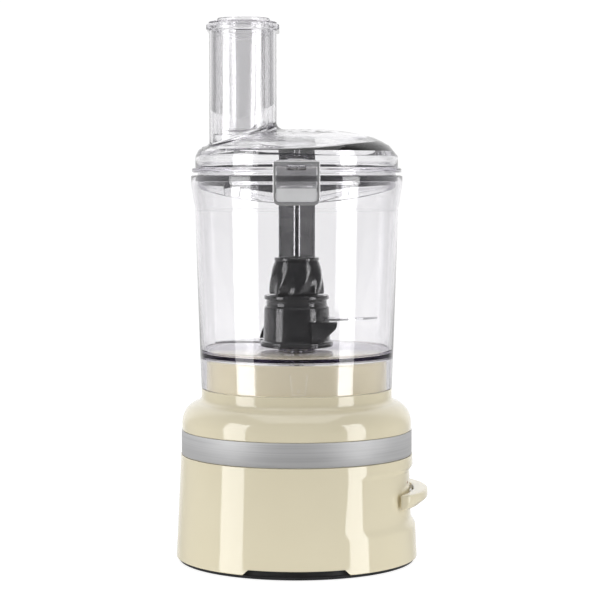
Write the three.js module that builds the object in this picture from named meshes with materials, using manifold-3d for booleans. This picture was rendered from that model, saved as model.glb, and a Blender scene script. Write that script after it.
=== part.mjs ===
// Countertop food processor: a round motor base with a metal band and a paddle lever, a clear bowl with
// a handle, a hinged clear lid with a wide feed tube, a latch, nested pushers and a two-tier blade.
// Millimetres. +Z is up and the drive axis is the Z axis. +X is the front, where the lever is.
// The latch faces -Y and the handle and the lid hinge are at +Y. Z = 0 is the worktop.
import * as THREE from 'three';
import { mergeVertices } from 'three/addons/utils/BufferGeometryUtils.js';
import Module from 'manifold-3d';

const wasm = await Module();
wasm.setup();

// Clearances
const FIT = 0.3;               // between pieces that are fixed together
const RUN = 0.7;               // between pieces that turn or slide past each other

// Base: radii and heights
const NECK_RADIUS = 77.8;      // neck of the base, and the lower edge of the bowl's skirt
const SHOULDER_OUT = 15.9;     // how far the shoulder stands out from the neck
const SHOULDER_ROUND = 18;     // radius of the shoulder's rounding
const SKIRT_FLARE = 4;         // how much wider the housing is at its lower edge than under the band
const FOOT_HEIGHT = 2.5;       // rubber foot, table to plate pocket
const PLATE_LIFT = 0.6;        // underside of the base plate above the table
const PLATE_EDGE = 2.4;        // thickness of the base plate's outer edge
const LOWER_WALL = 83.9;       // housing height from its lower edge to the band's groove
const BAND_HEIGHT = 19.5;      // metal band
const BAND_THICKNESS = 1.2;
const BAND_STRAIGHT = 5.7;     // straight wall between the band and the shoulder's rounding
const NECK_STRAIGHT = 9.6;     // neck between the shoulder and the ledge that the bowl stands on
const PEDESTAL_HEIGHT = 24.5;  // raised centre of the base inside the bowl's skirt
const SHELL_WALL = 3;          // housing wall
const NOTCH_HALF_WIDTH = 34;   // flat part of the finger notch in the lower edge
const NOTCH_SLANT = 4;
const NOTCH_DEPTH = 4.4;

// Front recess, panel and lever
const RECESS_SHIFT = 5.6;      // the recess is a circle set back by this much
const RECESS_LOW_OUT = 0.9;    // recess circle's radius over the housing's lower edge
const RECESS_HIGH_IN = 0.8;    // and under it at the upper end
const RECESS_LOW = 29;
const RECESS_HIGH = 76;
const PANEL_HALF_WIDTH = 50;
const PANEL_THICKNESS = 1.4;
const PANEL_INSET = 0.5;       // panel face behind the recess face
const PANEL_BELOW = 14;        // panel below the lever's axis
const PANEL_ABOVE = 17;        // panel above the lever's axis
const LEVER_HEIGHT = 54;       // lever axis above the table
const LEVER_AXIS_BEHIND = 28.7; // lever axis inside the housing's lower edge
const PADDLE_RADIUS = 80;
const PADDLE_OUT = 8.7;        // paddle's tip outside the housing's lower edge
const PADDLE_TIP_THICKNESS = 7;
const PADDLE_ROOT_THICKNESS = 12;
const LEVER_ARM_HALF_WIDTH = 12;
const LEVER_ARM_THICKNESS = 6;
const LEVER_PIN_RADIUS = 5;
const LEVER_SLOT_HALF_HEIGHT = 9.5;

// Bowl
const BOWL_WALL = 2.6;
const BOWL_FLOOR_ABOVE = 29.2; // bowl floor above the skirt's lower edge
const BOWL_HEIGHT = 172.8;     // skirt's lower edge to the lip
const BOWL_TAPER = 4.9;        // how much the radius grows from the skirt to the flare
const LIP_OUT = 3.3;           // how far the lip stands out from the wall below the flare
const FLARE_HEIGHT = 21;       // height of the flare below the lip's straight part
const LIP_HEIGHT = 7;
const CHIMNEY_RADIUS = 13.5;
const CHIMNEY_WALL = 3;
const CHIMNEY_HEIGHT = 31;     // above the bowl floor

// Drive
const SPINDLE_RADIUS = 6;
const SPINDLE_ABOVE_CHIMNEY = 21;
const BEARING_RADIUS = 16;
const BEARING_HEIGHT = 9;
const BOSS_WALL = 3;
const CHASSIS_LEVEL = 26;
const CHASSIS_THICKNESS = 4;
const MOTOR_OFFSET = 52;       // motor axis behind the drive axis
const STATOR_RADIUS = 32;
const STATOR_HEIGHT = 44;
const ROTOR_RADIUS = 19;
const MOTOR_SHAFT_RADIUS = 4;
const PULLEY_LEVEL = 11;
const PULLEY_HEIGHT = 11;
const LARGE_PULLEY_RADIUS = 34;
const SMALL_PULLEY_RADIUS = 8.5;
const BELT_THICKNESS = 2;
const FAN_RADIUS = 26;
const POST_RADIUS = 6;

// Blade
const HUB_RADIUS = 27.1;
const HUB_FLANGE_OUT = 2.7;
const HUB_HEIGHT = 39.5;       // flange to the collar
const HUB_WALL_TOP = 10;
const GRIP_RADIUS = 19;
const GRIP_HEIGHT = 30.3;
const BLADE_REACH = 66.5;
const BLADE_THICKNESS = 1.6;
const LOWER_BLADE_RISE = 2.5;  // knives above the hub's lower face
const UPPER_BLADE_RISE = 22;

// Lid
const LID_WALL = 2.4;
const LID_SKIRT_GAP = 2.8;     // between the lid's skirt and the inside of the lip
const LID_SKIRT_DEPTH = 16.6;  // skirt below the lip
const LID_SEAT_GAP = 2.4;      // between the lip and the lid's flange
const FLANGE_THICKNESS = 3.6;
const DOME_SIDE = 8.4;         // straight side above the flange
const DOME_HEIGHT = 23.3;
const SEAL_HEIGHT = 4.6;
const TUBE_HALF_WIDTH = 26.9;
const TUBE_HALF_DEPTH = 46;
const TUBE_OFFSET = 43.1;      // feed tube axis behind the drive axis
const TUBE_ABOVE_DOME = 83;
const TUBE_RIM_OUT = 2.4;
const TUBE_RIM_HEIGHT = 4.6;

// Latch
const LATCH_WIDTH = 36.5;
const LATCH_HEIGHT = 35;
const LATCH_THICKNESS = 3.4;
const LATCH_BAR = 2.3;
const LATCH_ABOVE_FLANGE = 5.8;
const LATCH_PLATE_HEIGHT = 10.5;
const LATCH_PIN_RADIUS = 0.9;
const KNUCKLE_HALF_WIDTH = 7;
const CATCH_DEPTH = 2.2;

// Handle and hinge
const HANDLE_HALF_WIDTH = 16;
const HANDLE_REACH = 50;       // outermost grip surface from the bowl's lip
const GRIP_DEPTH = 25;         // front to back thickness of the grip
const BACK_WEB = 9;            // handle's web along the bowl
const INSERT_HALF_WIDTH = 13.7;
const HINGE_OUT = 11;          // hinge axis outside the lip
const HINGE_ABOVE_LIP = 16.4;
const HINGE_PIN_RADIUS = 2.5;
const HINGE_ARM_HALF_WIDTH = 9.5;
const KNUCKLE_RADIUS = 6.5;
const ROD_RADIUS = 2.2;

// Pushers
const PUSHER_WALL = 2;
const PUSHER_DECK = 1.3;
const CUP_MARGIN = 8.9;        // small pusher's radius under the feed tube's half width
const CUP_TAPER = 2.5;
const CUP_WALL = 1.8;
const CUP_RIM_OUT = 3.6;
const CUP_RIM_HEIGHT = 4;

// Fixings
const SCREW_RADIUS = 2;
const SCREW_HEAD_RADIUS = 4;
const SCREW_HEAD_HEIGHT = 2.4;
const CORNERS = 4;
const LARGE_ROUND = 32;        // facets of a large turned piece
const SMALL_ROUND = 16;        // facets of a small turned piece

// Levels, worked out from the heights above
const EDGE_Z = PLATE_LIFT + PLATE_EDGE + FIT;
const BAND_Z = EDGE_Z + LOWER_WALL;
const BAND_TOP_Z = BAND_Z + BAND_HEIGHT + 2 * FIT;
const SHOULDER_Z = BAND_TOP_Z + BAND_STRAIGHT;
const LEDGE_Z = SHOULDER_Z + SHOULDER_ROUND + NECK_STRAIGHT;
const PEDESTAL_Z = LEDGE_Z + PEDESTAL_HEIGHT;
const BOWL_Z = LEDGE_Z + FIT;
const FLOOR_Z = BOWL_Z + BOWL_FLOOR_ABOVE;
const LIP_Z = BOWL_Z + BOWL_HEIGHT;
const CHIMNEY_Z = FLOOR_Z + CHIMNEY_HEIGHT;
const FLANGE_Z = LIP_Z + LID_SEAT_GAP;
const DOME_Z = FLANGE_Z + FLANGE_THICKNESS + DOME_SIDE;
const TUBE_Z = DOME_Z + DOME_HEIGHT + TUBE_ABOVE_DOME;
const HUB_Z = FLOOR_Z + 3;
const COLLAR_Z = HUB_Z + HUB_HEIGHT;
const CHASSIS_Z = CHASSIS_LEVEL + CHASSIS_THICKNESS;
const STATOR_Z = CHASSIS_Z + 6;
const HINGE_Z = LIP_Z + HINGE_ABOVE_LIP;
const PUSHER_FOOT_Z = DOME_Z + DOME_HEIGHT - 6;

// Radii, worked out from the sizes above
const BODY_RADIUS = NECK_RADIUS + SHOULDER_OUT;
const BAND_RADIUS = BODY_RADIUS + 0.4;
const GROOVE_RADIUS = BAND_RADIUS - BAND_THICKNESS - FIT;
const EDGE_RADIUS = BODY_RADIUS + 1 + SKIRT_FLARE;
const PEDESTAL_RADIUS = NECK_RADIUS - BOWL_WALL - 1.7;
const FLARE_RADIUS = NECK_RADIUS + BOWL_TAPER;
const LIP_RADIUS = FLARE_RADIUS + LIP_OUT;
const SKIRT_RADIUS = LIP_RADIUS - BOWL_WALL - LID_SKIRT_GAP;
const DOME_RADIUS = LIP_RADIUS - LIP_OUT - 0.2;
const CAVITY_RADIUS = GROOVE_RADIUS - SHELL_WALL;
const CHIMNEY_BORE = CHIMNEY_RADIUS - CHIMNEY_WALL;
const HINGE_Y = LIP_RADIUS + HINGE_OUT;
const CUP_RADIUS = TUBE_HALF_WIDTH - CUP_MARGIN;
const LEVER_AXIS_X = EDGE_RADIUS - LEVER_AXIS_BEHIND;
const PADDLE_TIP_X = EDGE_RADIUS + PADDLE_OUT;
const RECESS_LOW_RADIUS = EDGE_RADIUS + RECESS_LOW_OUT;
const RECESS_HIGH_RADIUS = EDGE_RADIUS - RECESS_HIGH_IN;

// ---- Geometry helpers ----

// A closed three.js geometry as a manifold solid, turned so that its faces point out.
function solid(geometry) {
  const bare = geometry.clone();
  bare.deleteAttribute('normal');
  bare.deleteAttribute('uv');
  const merged = mergeVertices(bare, 1e-4);
  const points = merged.getAttribute('position').array;
  const index = merged.getIndex().array;
  const triangles = [];
  let volume = 0;
  for (let i = 0; i < index.length; i += 3) {
    const [a, b, c] = [index[i], index[i + 1], index[i + 2]];
    if (a === b || b === c || c === a) continue;
    triangles.push(a, b, c);
    const [p, q, r] = [a, b, c].map((v) => new THREE.Vector3().fromArray(points, 3 * v));
    volume += p.dot(q.cross(r));
  }
  if (volume < 0) triangles.reverse();
  return new wasm.Manifold(new wasm.Mesh({
    numProp: 3,
    vertProperties: new Float32Array(points),
    triVerts: new Uint32Array(triangles),
  }));
}

function join(first, ...others) {
  return others.reduce((sum, other) => sum.add(other), first);
}

function cut(first, ...others) {
  return others.reduce((rest, other) => rest.subtract(other), first);
}

// Turned solid about +Z from [radius, height] points.
function turned(points, facets = LARGE_ROUND, x = 0, y = 0) {
  const profile = points.map(([radius, height]) => new THREE.Vector2(radius, height));
  const geometry = new THREE.LatheGeometry(profile, facets);
  geometry.rotateX(Math.PI / 2);
  geometry.translate(x, y, 0);
  return solid(geometry);
}

function disc(radius, z0, z1, facets = LARGE_ROUND, x = 0, y = 0) {
  return turned([[0, z0], [radius, z0], [radius, z1], [0, z1]], facets, x, y);
}

function ring(inner, outer, z0, z1, facets = LARGE_ROUND, x = 0, y = 0) {
  return turned([[inner, z0], [outer, z0], [outer, z1], [inner, z1], [inner, z0]], facets, x, y);
}

function block(x0, x1, y0, y1, z0, z1) {
  const geometry = new THREE.BoxGeometry(x1 - x0, y1 - y0, z1 - z0);
  geometry.translate((x0 + x1) / 2, (y0 + y1) / 2, (z0 + z1) / 2);
  return solid(geometry);
}

function outline(points) {
  return new THREE.Shape(points.map(([a, b]) => new THREE.Vector2(a, b)));
}

// An outline in X and Y, raised from z0 to z1.
function raised(shape, z0, z1, curveSegments = 8) {
  const settings = { depth: z1 - z0, bevelEnabled: false, curveSegments };
  const geometry = new THREE.ExtrudeGeometry(shape, settings);
  geometry.translate(0, 0, z0);
  return solid(geometry);
}

// An outline in Y and Z, drawn out along X.
function acrossX(shape, x0, x1, curveSegments = 8) {
  const settings = { depth: x1 - x0, bevelEnabled: false, curveSegments };
  const geometry = new THREE.ExtrudeGeometry(shape, settings);
  const axes = [new THREE.Vector3(0, 1, 0), new THREE.Vector3(0, 0, 1), new THREE.Vector3(1, 0, 0)];
  geometry.applyMatrix4(new THREE.Matrix4().makeBasis(...axes));
  geometry.translate(x0, 0, 0);
  return solid(geometry);
}

// An outline in X and Z, drawn out along Y.
function acrossY(shape, y0, y1, curveSegments = 8) {
  const settings = { depth: y1 - y0, bevelEnabled: false, curveSegments };
  const geometry = new THREE.ExtrudeGeometry(shape, settings);
  geometry.rotateX(Math.PI / 2);
  geometry.translate(0, y1, 0);
  return solid(geometry);
}

function circle(radius, a = 0, b = 0) {
  return new THREE.Shape().absarc(a, b, radius, 0, 2 * Math.PI, false);
}

function roundedRectangle(a0, a1, b0, b1, corner) {
  const shape = new THREE.Shape();
  shape.moveTo(a0 + corner, b0);
  shape.lineTo(a1 - corner, b0);
  shape.absarc(a1 - corner, b0 + corner, corner, -Math.PI / 2, 0, false);
  shape.lineTo(a1, b1 - corner);
  shape.absarc(a1 - corner, b1 - corner, corner, 0, Math.PI / 2, false);
  shape.lineTo(a0 + corner, b1);
  shape.absarc(a0 + corner, b1 - corner, corner, Math.PI / 2, Math.PI, false);
  shape.lineTo(a0, b0 + corner);
  shape.absarc(a0 + corner, b0 + corner, corner, Math.PI, 1.5 * Math.PI, false);
  return shape;
}

// Points of an arc, angles in degrees.
function arcPoints(centre, radius, from, to, steps) {
  const points = [];
  for (let i = 0; i <= steps; i += 1) {
    const angle = THREE.MathUtils.degToRad(from + ((to - from) * i) / steps);
    points.push([centre[0] + radius * Math.cos(angle), centre[1] + radius * Math.sin(angle)]);
  }
  return points;
}

// ---- Materials ----

const finish = {
  cream: new THREE.MeshStandardMaterial({ color: 0xe4dcc4, roughness: 0.25, metalness: 0 }),
  brushed: new THREE.MeshStandardMaterial({ color: 0xb4b5b8, roughness: 0.35, metalness: 1 }),
  black: new THREE.MeshStandardMaterial({ color: 0x232325, roughness: 0.5, metalness: 0 }),
  rubber: new THREE.MeshStandardMaterial({ color: 0x2a2a2a, roughness: 0.8, metalness: 0 }),
  clear: new THREE.MeshStandardMaterial({
    color: 0xe6e4ea, roughness: 0.05, metalness: 0, transparent: true, opacity: 0.3,
  }),
  seal: new THREE.MeshStandardMaterial({ color: 0x4a4a50, roughness: 0.6, metalness: 0 }),
  chrome: new THREE.MeshStandardMaterial({ color: 0xdedfe2, roughness: 0.1, metalness: 1 }),
  satin: new THREE.MeshStandardMaterial({ color: 0xb9babd, roughness: 0.4, metalness: 0.6 }),
  steel: new THREE.MeshStandardMaterial({ color: 0xc4c5c8, roughness: 0.3, metalness: 1 }),
  hub: new THREE.MeshStandardMaterial({ color: 0x36363a, roughness: 0.4, metalness: 0 }),
  copper: new THREE.MeshStandardMaterial({ color: 0xa8673a, roughness: 0.4, metalness: 0.8 }),
  board: new THREE.MeshStandardMaterial({ color: 0x2c6a3c, roughness: 0.6, metalness: 0 }),
};

// A named mesh from a manifold solid.
function piece(name, shape, material) {
  const mesh = shape.getMesh();
  const geometry = new THREE.BufferGeometry();
  geometry.setAttribute('position', new THREE.BufferAttribute(mesh.vertProperties, 3));
  geometry.setIndex(new THREE.BufferAttribute(mesh.triVerts, 1));
  geometry.computeVertexNormals();
  const result = new THREE.Mesh(geometry, material);
  result.name = name;
  return result;
}

// ---- Base ----

const CAVITY_TOP_RADIUS = NECK_RADIUS - SHELL_WALL;

// Everything outside the set-back front circle between two heights.
function outsideRecess(low, high, inset) {
  const around = disc(EDGE_RADIUS + 10, low, high);
  return cut(around, recessCone(low - 1, high + 1, -inset));
}

// The set-back front circle as a solid cone, grown by a distance.
function recessCone(low, high, grow) {
  return turned([
    [0, low], [recessRadius(low) + grow, low], [recessRadius(high) + grow, high], [0, high],
  ], LARGE_ROUND, -RECESS_SHIFT);
}

function recessRadius(z) {
  return THREE.MathUtils.mapLinear(z, RECESS_LOW, RECESS_HIGH, RECESS_LOW_RADIUS, RECESS_HIGH_RADIUS);
}

function housingOuter() {
  const centre = [BODY_RADIUS - SHOULDER_ROUND, SHOULDER_Z];
  const neckAngle = THREE.MathUtils.radToDeg(Math.acos((NECK_RADIUS - centre[0]) / SHOULDER_ROUND));
  return turned([
    [0, EDGE_Z],
    [EDGE_RADIUS, EDGE_Z],
    [BODY_RADIUS + 1, BAND_Z],
    [GROOVE_RADIUS, BAND_Z],
    [GROOVE_RADIUS, BAND_TOP_Z],
    [BODY_RADIUS, BAND_TOP_Z],
    ...arcPoints(centre, SHOULDER_ROUND, 0, neckAngle, 6),
    [NECK_RADIUS, LEDGE_Z],
    [PEDESTAL_RADIUS, LEDGE_Z],
    [PEDESTAL_RADIUS, PEDESTAL_Z - 2],
    [PEDESTAL_RADIUS - 2, PEDESTAL_Z],
    [0, PEDESTAL_Z],
  ]);
}

function housingCavity() {
  const centre = [CAVITY_TOP_RADIUS, SHOULDER_Z];
  const round = CAVITY_RADIUS - CAVITY_TOP_RADIUS;
  return turned([
    [0, EDGE_Z - 1],
    [EDGE_RADIUS - SHELL_WALL, EDGE_Z - 1],
    [BODY_RADIUS + 1 - SHELL_WALL, BAND_Z - SHELL_WALL - 2],
    [CAVITY_RADIUS, BAND_Z - SHELL_WALL],
    ...arcPoints(centre, round, 0, 90, 4),
    [CAVITY_TOP_RADIUS, LEDGE_Z - SHELL_WALL],
    [PEDESTAL_RADIUS - SHELL_WALL, LEDGE_Z - SHELL_WALL],
    [PEDESTAL_RADIUS - SHELL_WALL, PEDESTAL_Z - SHELL_WALL],
    [0, PEDESTAL_Z - SHELL_WALL],
  ]);
}

const BOSS_RADIUS = BEARING_RADIUS + FIT + BOSS_WALL;
const UPPER_BEARING_Z = PEDESTAL_Z - SHELL_WALL - 12;
const BASE_SCREW_CIRCLE = EDGE_RADIUS - 8.5;
const BASE_SCREW_ANGLES = [22, 158, 202, 338];
const BASE_SCREW_LENGTH = 14;

function onCircle(radius, degrees) {
  const angle = THREE.MathUtils.degToRad(degrees);
  return [radius * Math.cos(angle), radius * Math.sin(angle)];
}

const ROD_Y = LIP_RADIUS + 4.6;
const ROD_TIP_Z = SHOULDER_Z + 13;

function leverSlot(grow) {
  const half = LEVER_ARM_HALF_WIDTH + RUN + grow;
  const height = LEVER_SLOT_HALF_HEIGHT + grow;
  return block(LEVER_AXIS_X, EDGE_RADIUS + 5, -half, half, LEVER_HEIGHT - height, LEVER_HEIGHT + height);
}

function makeHousing() {
  const backing = SHELL_WALL + PANEL_INSET + PANEL_THICKNESS;
  const recess = outsideRecess(RECESS_LOW - SHELL_WALL, RECESS_HIGH + SHELL_WALL, backing);
  let cavity = cut(housingCavity(), recess);
  cavity = cut(cavity, ring(BEARING_RADIUS + FIT, BOSS_RADIUS, UPPER_BEARING_Z - 8, PEDESTAL_Z, 24));
  for (const degrees of BASE_SCREW_ANGLES) {
    const [x, y] = onCircle(BASE_SCREW_CIRCLE, degrees);
    cavity = cut(cavity, disc(5.5, EDGE_Z + 6, BASE_SCREW_LENGTH + 12, SMALL_ROUND, x, y));
  }
  const low = NOTCH_HALF_WIDTH + NOTCH_SLANT;
  const notch = outline([
    [-low, EDGE_Z - 1], [low, EDGE_Z - 1], [low, EDGE_Z], [NOTCH_HALF_WIDTH, EDGE_Z + NOTCH_DEPTH],
    [-NOTCH_HALF_WIDTH, EDGE_Z + NOTCH_DEPTH], [-low, EDGE_Z],
  ]);
  let housing = cut(housingOuter(), outsideRecess(RECESS_LOW, RECESS_HIGH, 0), cavity);
  housing = cut(housing, acrossY(notch, -EDGE_RADIUS - 5, EDGE_RADIUS + 5), leverSlot(1));
  housing = cut(housing, recessSlab(-PANEL_INSET - PANEL_THICKNESS - FIT, 10, FIT));
  housing = cut(housing, disc(SPINDLE_RADIUS + RUN, PEDESTAL_Z - 10, PEDESTAL_Z + 1, SMALL_ROUND));
  housing = cut(housing, disc(ROD_RADIUS + 1.2, SHOULDER_Z + 3, LEDGE_Z, SMALL_ROUND, 0, ROD_Y));
  for (const degrees of BASE_SCREW_ANGLES) {
    const [x, y] = onCircle(BASE_SCREW_CIRCLE, degrees);
    housing = cut(housing, disc(SCREW_RADIUS + FIT, 0, BASE_SCREW_LENGTH + 6, SMALL_ROUND, x, y));
  }
  const inlet = block(
    -EDGE_RADIUS - 5, -CAVITY_RADIUS + 8, -INLET_HALF, INLET_HALF, INLET_Z - INLET_HALF, INLET_Z + INLET_HALF,
  );
  return piece('base_housing', cut(housing, inlet), finish.cream);
}

const INLET_HALF = 9;
const INLET_Z = 22;

function makeBand() {
  const low = BAND_Z + FIT;
  const band = ring(BAND_RADIUS - BAND_THICKNESS, BAND_RADIUS, low, low + BAND_HEIGHT);
  return piece('trim_band', band, finish.brushed);
}

const FOOT_CIRCLE = EDGE_RADIUS - 18;
const FOOT_RADIUS = 9;
const POST_CIRCLE = EDGE_RADIUS - 24.7;

function cornerAngle(i) {
  return 45 + (360 / CORNERS) * i;
}

function makeBasePlate() {
  const edge = EDGE_RADIUS - SHELL_WALL - 1.2;
  let plate = turned([
    [0, PLATE_LIFT],
    [EDGE_RADIUS - 2.4, PLATE_LIFT],
    [EDGE_RADIUS - 1.4, PLATE_LIFT + PLATE_EDGE],
    [edge, PLATE_LIFT + PLATE_EDGE],
    [edge - 0.4, EDGE_Z + NOTCH_DEPTH + 1],
    [edge - 3, EDGE_Z + NOTCH_DEPTH + 1],
    [edge - 3, PLATE_LIFT + 4.4],
    [0, PLATE_LIFT + 4.4],
  ]);
  for (let i = 0; i < CORNERS; i += 1) {
    const [x, y] = onCircle(POST_CIRCLE, cornerAngle(i));
    plate = join(plate, disc(POST_RADIUS, PLATE_LIFT + 3, CHASSIS_LEVEL - FIT, SMALL_ROUND, x, y));
  }
  for (let i = 0; i < CORNERS; i += 1) {
    const [x, y] = onCircle(POST_CIRCLE, cornerAngle(i));
    plate = cut(plate, disc(SCREW_RADIUS + FIT, CHASSIS_LEVEL - 14, CHASSIS_LEVEL, SMALL_ROUND, x, y));
    const [footX, footY] = onCircle(FOOT_CIRCLE, cornerAngle(i));
    plate = cut(plate, disc(FOOT_RADIUS + FIT, 0, FOOT_HEIGHT + FIT, 20, footX, footY));
  }
  const seat = PLATE_LIFT + SCREW_HEAD_HEIGHT + 0.5;
  for (const degrees of BASE_SCREW_ANGLES) {
    const [x, y] = onCircle(BASE_SCREW_CIRCLE, degrees);
    plate = cut(plate, disc(SCREW_RADIUS + FIT, 0, 12, SMALL_ROUND, x, y));
    plate = cut(plate, disc(SCREW_HEAD_RADIUS + FIT, 0, seat, SMALL_ROUND, x, y));
  }
  return piece('base_plate', plate, finish.black);
}

function makeFeet() {
  const feet = [];
  for (let i = 0; i < CORNERS; i += 1) {
    const foot = piece(`foot_${i + 1}`, disc(FOOT_RADIUS, 0, FOOT_HEIGHT, 20), finish.rubber);
    foot.position.set(...onCircle(FOOT_CIRCLE, cornerAngle(i)), 0);
    feet.push(foot);
  }
  return feet;
}

// A pan-head screw with its head on top; it hangs down from the seat at its origin.
function screwShape(length) {
  return turned([
    [0, -length], [SCREW_RADIUS, -length], [SCREW_RADIUS, 0], [SCREW_HEAD_RADIUS, 0],
    [SCREW_HEAD_RADIUS - 0.6, SCREW_HEAD_HEIGHT], [0, SCREW_HEAD_HEIGHT],
  ], SMALL_ROUND);
}

function makeScrews() {
  const screws = [];
  for (let i = 0; i < CORNERS; i += 1) {
    const screw = piece(`chassis_screw_${i + 1}`, screwShape(15), finish.steel);
    screw.position.set(...onCircle(POST_CIRCLE, cornerAngle(i)), CHASSIS_Z + FIT);
    screws.push(screw);
  }
  BASE_SCREW_ANGLES.forEach((degrees, i) => {
    const screw = piece(`base_screw_${i + 1}`, screwShape(BASE_SCREW_LENGTH), finish.steel);
    screw.rotation.x = Math.PI;
    screw.position.set(...onCircle(BASE_SCREW_CIRCLE, degrees), PLATE_LIFT + SCREW_HEAD_HEIGHT + 0.2);
    screws.push(screw);
  });
  return screws;
}

// A slab that follows the recess from one distance off its face to another, grown at its edges.
function recessSlab(inner, outer, grow) {
  const low = LEVER_HEIGHT - PANEL_BELOW - grow;
  const high = LEVER_HEIGHT + PANEL_ABOVE + grow;
  const half = PANEL_HALF_WIDTH + grow;
  const slab = cut(recessCone(low, high, outer), recessCone(low - 1, high + 1, inner));
  return slab.intersect(block(0, EDGE_RADIUS + 20, -half, half, low - 1, high + 1));
}

const LENS_Y = -24;
const LENS_Z = LEVER_HEIGHT + 12;
const LENS_RADIUS = 1.8;

function makePanel() {
  const plate = recessSlab(-PANEL_INSET - PANEL_THICKNESS, -PANEL_INSET, 0);
  const lensHole = acrossX(circle(LENS_RADIUS + FIT, LENS_Y, LENS_Z), LEVER_AXIS_X, EDGE_RADIUS + 10);
  return piece('control_panel', cut(plate, leverSlot(0), lensHole), finish.cream);
}

function makeLens() {
  const radius = recessRadius(LENS_Z) - PANEL_INSET;
  const front = Math.sqrt(radius * radius - LENS_Y * LENS_Y) - RECESS_SHIFT;
  const lens = acrossX(circle(LENS_RADIUS, LENS_Y, LENS_Z), front - PANEL_THICKNESS, front + 0.3);
  return piece('indicator_lens', lens, finish.satin);
}

function makeInlet() {
  const half = INLET_HALF - FIT;
  const outer = roundedRectangle(-half, half, INLET_Z - half, INLET_Z + half, 2);
  const face = acrossX(outer, -EDGE_RADIUS + 2.2, -EDGE_RADIUS + 6);
  const hole = acrossX(circle(3.4, 0, INLET_Z), -EDGE_RADIUS, -EDGE_RADIUS + 8);
  return piece('mains_inlet', cut(face, hole), finish.black);
}

// ---- Motor, belt and spindle ----

function makeChassis() {
  let plate = disc(POST_CIRCLE + POST_RADIUS + 2, CHASSIS_LEVEL, CHASSIS_Z);
  plate = join(plate, ring(BEARING_RADIUS + FIT, BOSS_RADIUS, CHASSIS_Z - 1, CHASSIS_Z + BEARING_HEIGHT, 24));
  plate = cut(plate, disc(SPINDLE_RADIUS + RUN, 0, CHASSIS_Z + 1, SMALL_ROUND));
  plate = cut(plate, disc(MOTOR_SHAFT_RADIUS + RUN, 0, CHASSIS_Z + 1, SMALL_ROUND, -MOTOR_OFFSET));
  plate = cut(plate, block(LEVER_AXIS_X - 14, 120, -34, 34, 0, 60));
  for (let i = 0; i < CORNERS; i += 1) {
    const [x, y] = onCircle(POST_CIRCLE, cornerAngle(i));
    plate = cut(plate, disc(SCREW_RADIUS + FIT, 0, CHASSIS_Z + 1, SMALL_ROUND, x, y));
  }
  return piece('motor_chassis', plate, finish.black);
}

function makeBearing(name, z) {
  const height = BEARING_HEIGHT - 0.6;
  const bearing = piece(name, ring(SPINDLE_RADIUS + FIT, BEARING_RADIUS, 0, height, 24), finish.steel);
  bearing.position.z = z;
  return bearing;
}

function makeStator() {
  const bore = ROTOR_RADIUS + RUN + 0.3;
  const stack = ring(bore, STATOR_RADIUS, STATOR_Z, STATOR_Z + STATOR_HEIGHT, 24, -MOTOR_OFFSET);
  return piece('motor_stator', stack, finish.steel);
}

function makeWindings() {
  const inner = ROTOR_RADIUS + 2;
  const outer = STATOR_RADIUS - 4;
  const low = STATOR_Z + STATOR_HEIGHT + FIT;
  const winding = ring(inner, outer, low, low + 7.7, 24, -MOTOR_OFFSET);
  return piece('motor_windings', winding, finish.copper);
}

function makeRotor() {
  const bore = MOTOR_SHAFT_RADIUS + FIT;
  const rotor = ring(bore, ROTOR_RADIUS, STATOR_Z + 2, STATOR_Z + STATOR_HEIGHT - 2, 24, -MOTOR_OFFSET);
  return piece('motor_rotor', rotor, finish.copper);
}

const FAN_Z = STATOR_Z + STATOR_HEIGHT + 11;

function makeMotorShaft() {
  const shaft = disc(MOTOR_SHAFT_RADIUS, PULLEY_LEVEL, FAN_Z + 6, SMALL_ROUND, -MOTOR_OFFSET);
  return piece('motor_shaft', shaft, finish.steel);
}

function makeFan() {
  const hub = ring(MOTOR_SHAFT_RADIUS + FIT, 9, FAN_Z, FAN_Z + 6, 20, -MOTOR_OFFSET);
  let fan = join(hub, ring(8, FAN_RADIUS, FAN_Z, FAN_Z + 1.5, 20, -MOTOR_OFFSET));
  for (let i = 0; i < 8; i += 1) {
    const vane = new THREE.BoxGeometry(FAN_RADIUS - 9, 1.4, 5.6);
    vane.translate((FAN_RADIUS + 7) / 2, 0, FAN_Z + 3.2);
    vane.rotateZ((i * Math.PI) / 4);
    vane.translate(-MOTOR_OFFSET, 0, 0);
    fan = join(fan, solid(vane));
  }
  return piece('cooling_fan', fan, finish.black);
}

function makePulley(name, bore, radius, x) {
  const groove = radius - 1;
  const pulley = turned([
    [bore + FIT, PULLEY_LEVEL], [radius + 1.5, PULLEY_LEVEL], [radius + 1.5, PULLEY_LEVEL + 1],
    [groove, PULLEY_LEVEL + 1.2], [groove, PULLEY_LEVEL + PULLEY_HEIGHT - 1.2],
    [radius + 1.5, PULLEY_LEVEL + PULLEY_HEIGHT - 1], [radius + 1.5, PULLEY_LEVEL + PULLEY_HEIGHT],
    [bore + FIT, PULLEY_LEVEL + PULLEY_HEIGHT], [bore + FIT, PULLEY_LEVEL],
  ], 24, x);
  return piece(name, pulley, finish.black);
}

// The belt's outline around both pulleys, grown outward by a distance.
function beltOutline(grow) {
  const large = LARGE_PULLEY_RADIUS - 1 + grow;
  const small = SMALL_PULLEY_RADIUS - 1 + grow;
  const half = THREE.MathUtils.radToDeg(Math.acos((large - small) / MOTOR_OFFSET));
  return outline([
    ...arcPoints([0, 0], large, half - 180, 180 - half, 20),
    ...arcPoints([-MOTOR_OFFSET, 0], small, 180 - half, 180 + half, 8),
  ]);
}

function makeBelt() {
  const low = PULLEY_LEVEL + 2;
  const high = PULLEY_LEVEL + PULLEY_HEIGHT - 2;
  const inner = raised(beltOutline(RUN), low - 1, high + 1);
  return piece('drive_belt', cut(raised(beltOutline(RUN + BELT_THICKNESS), low, high), inner), finish.rubber);
}

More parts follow.
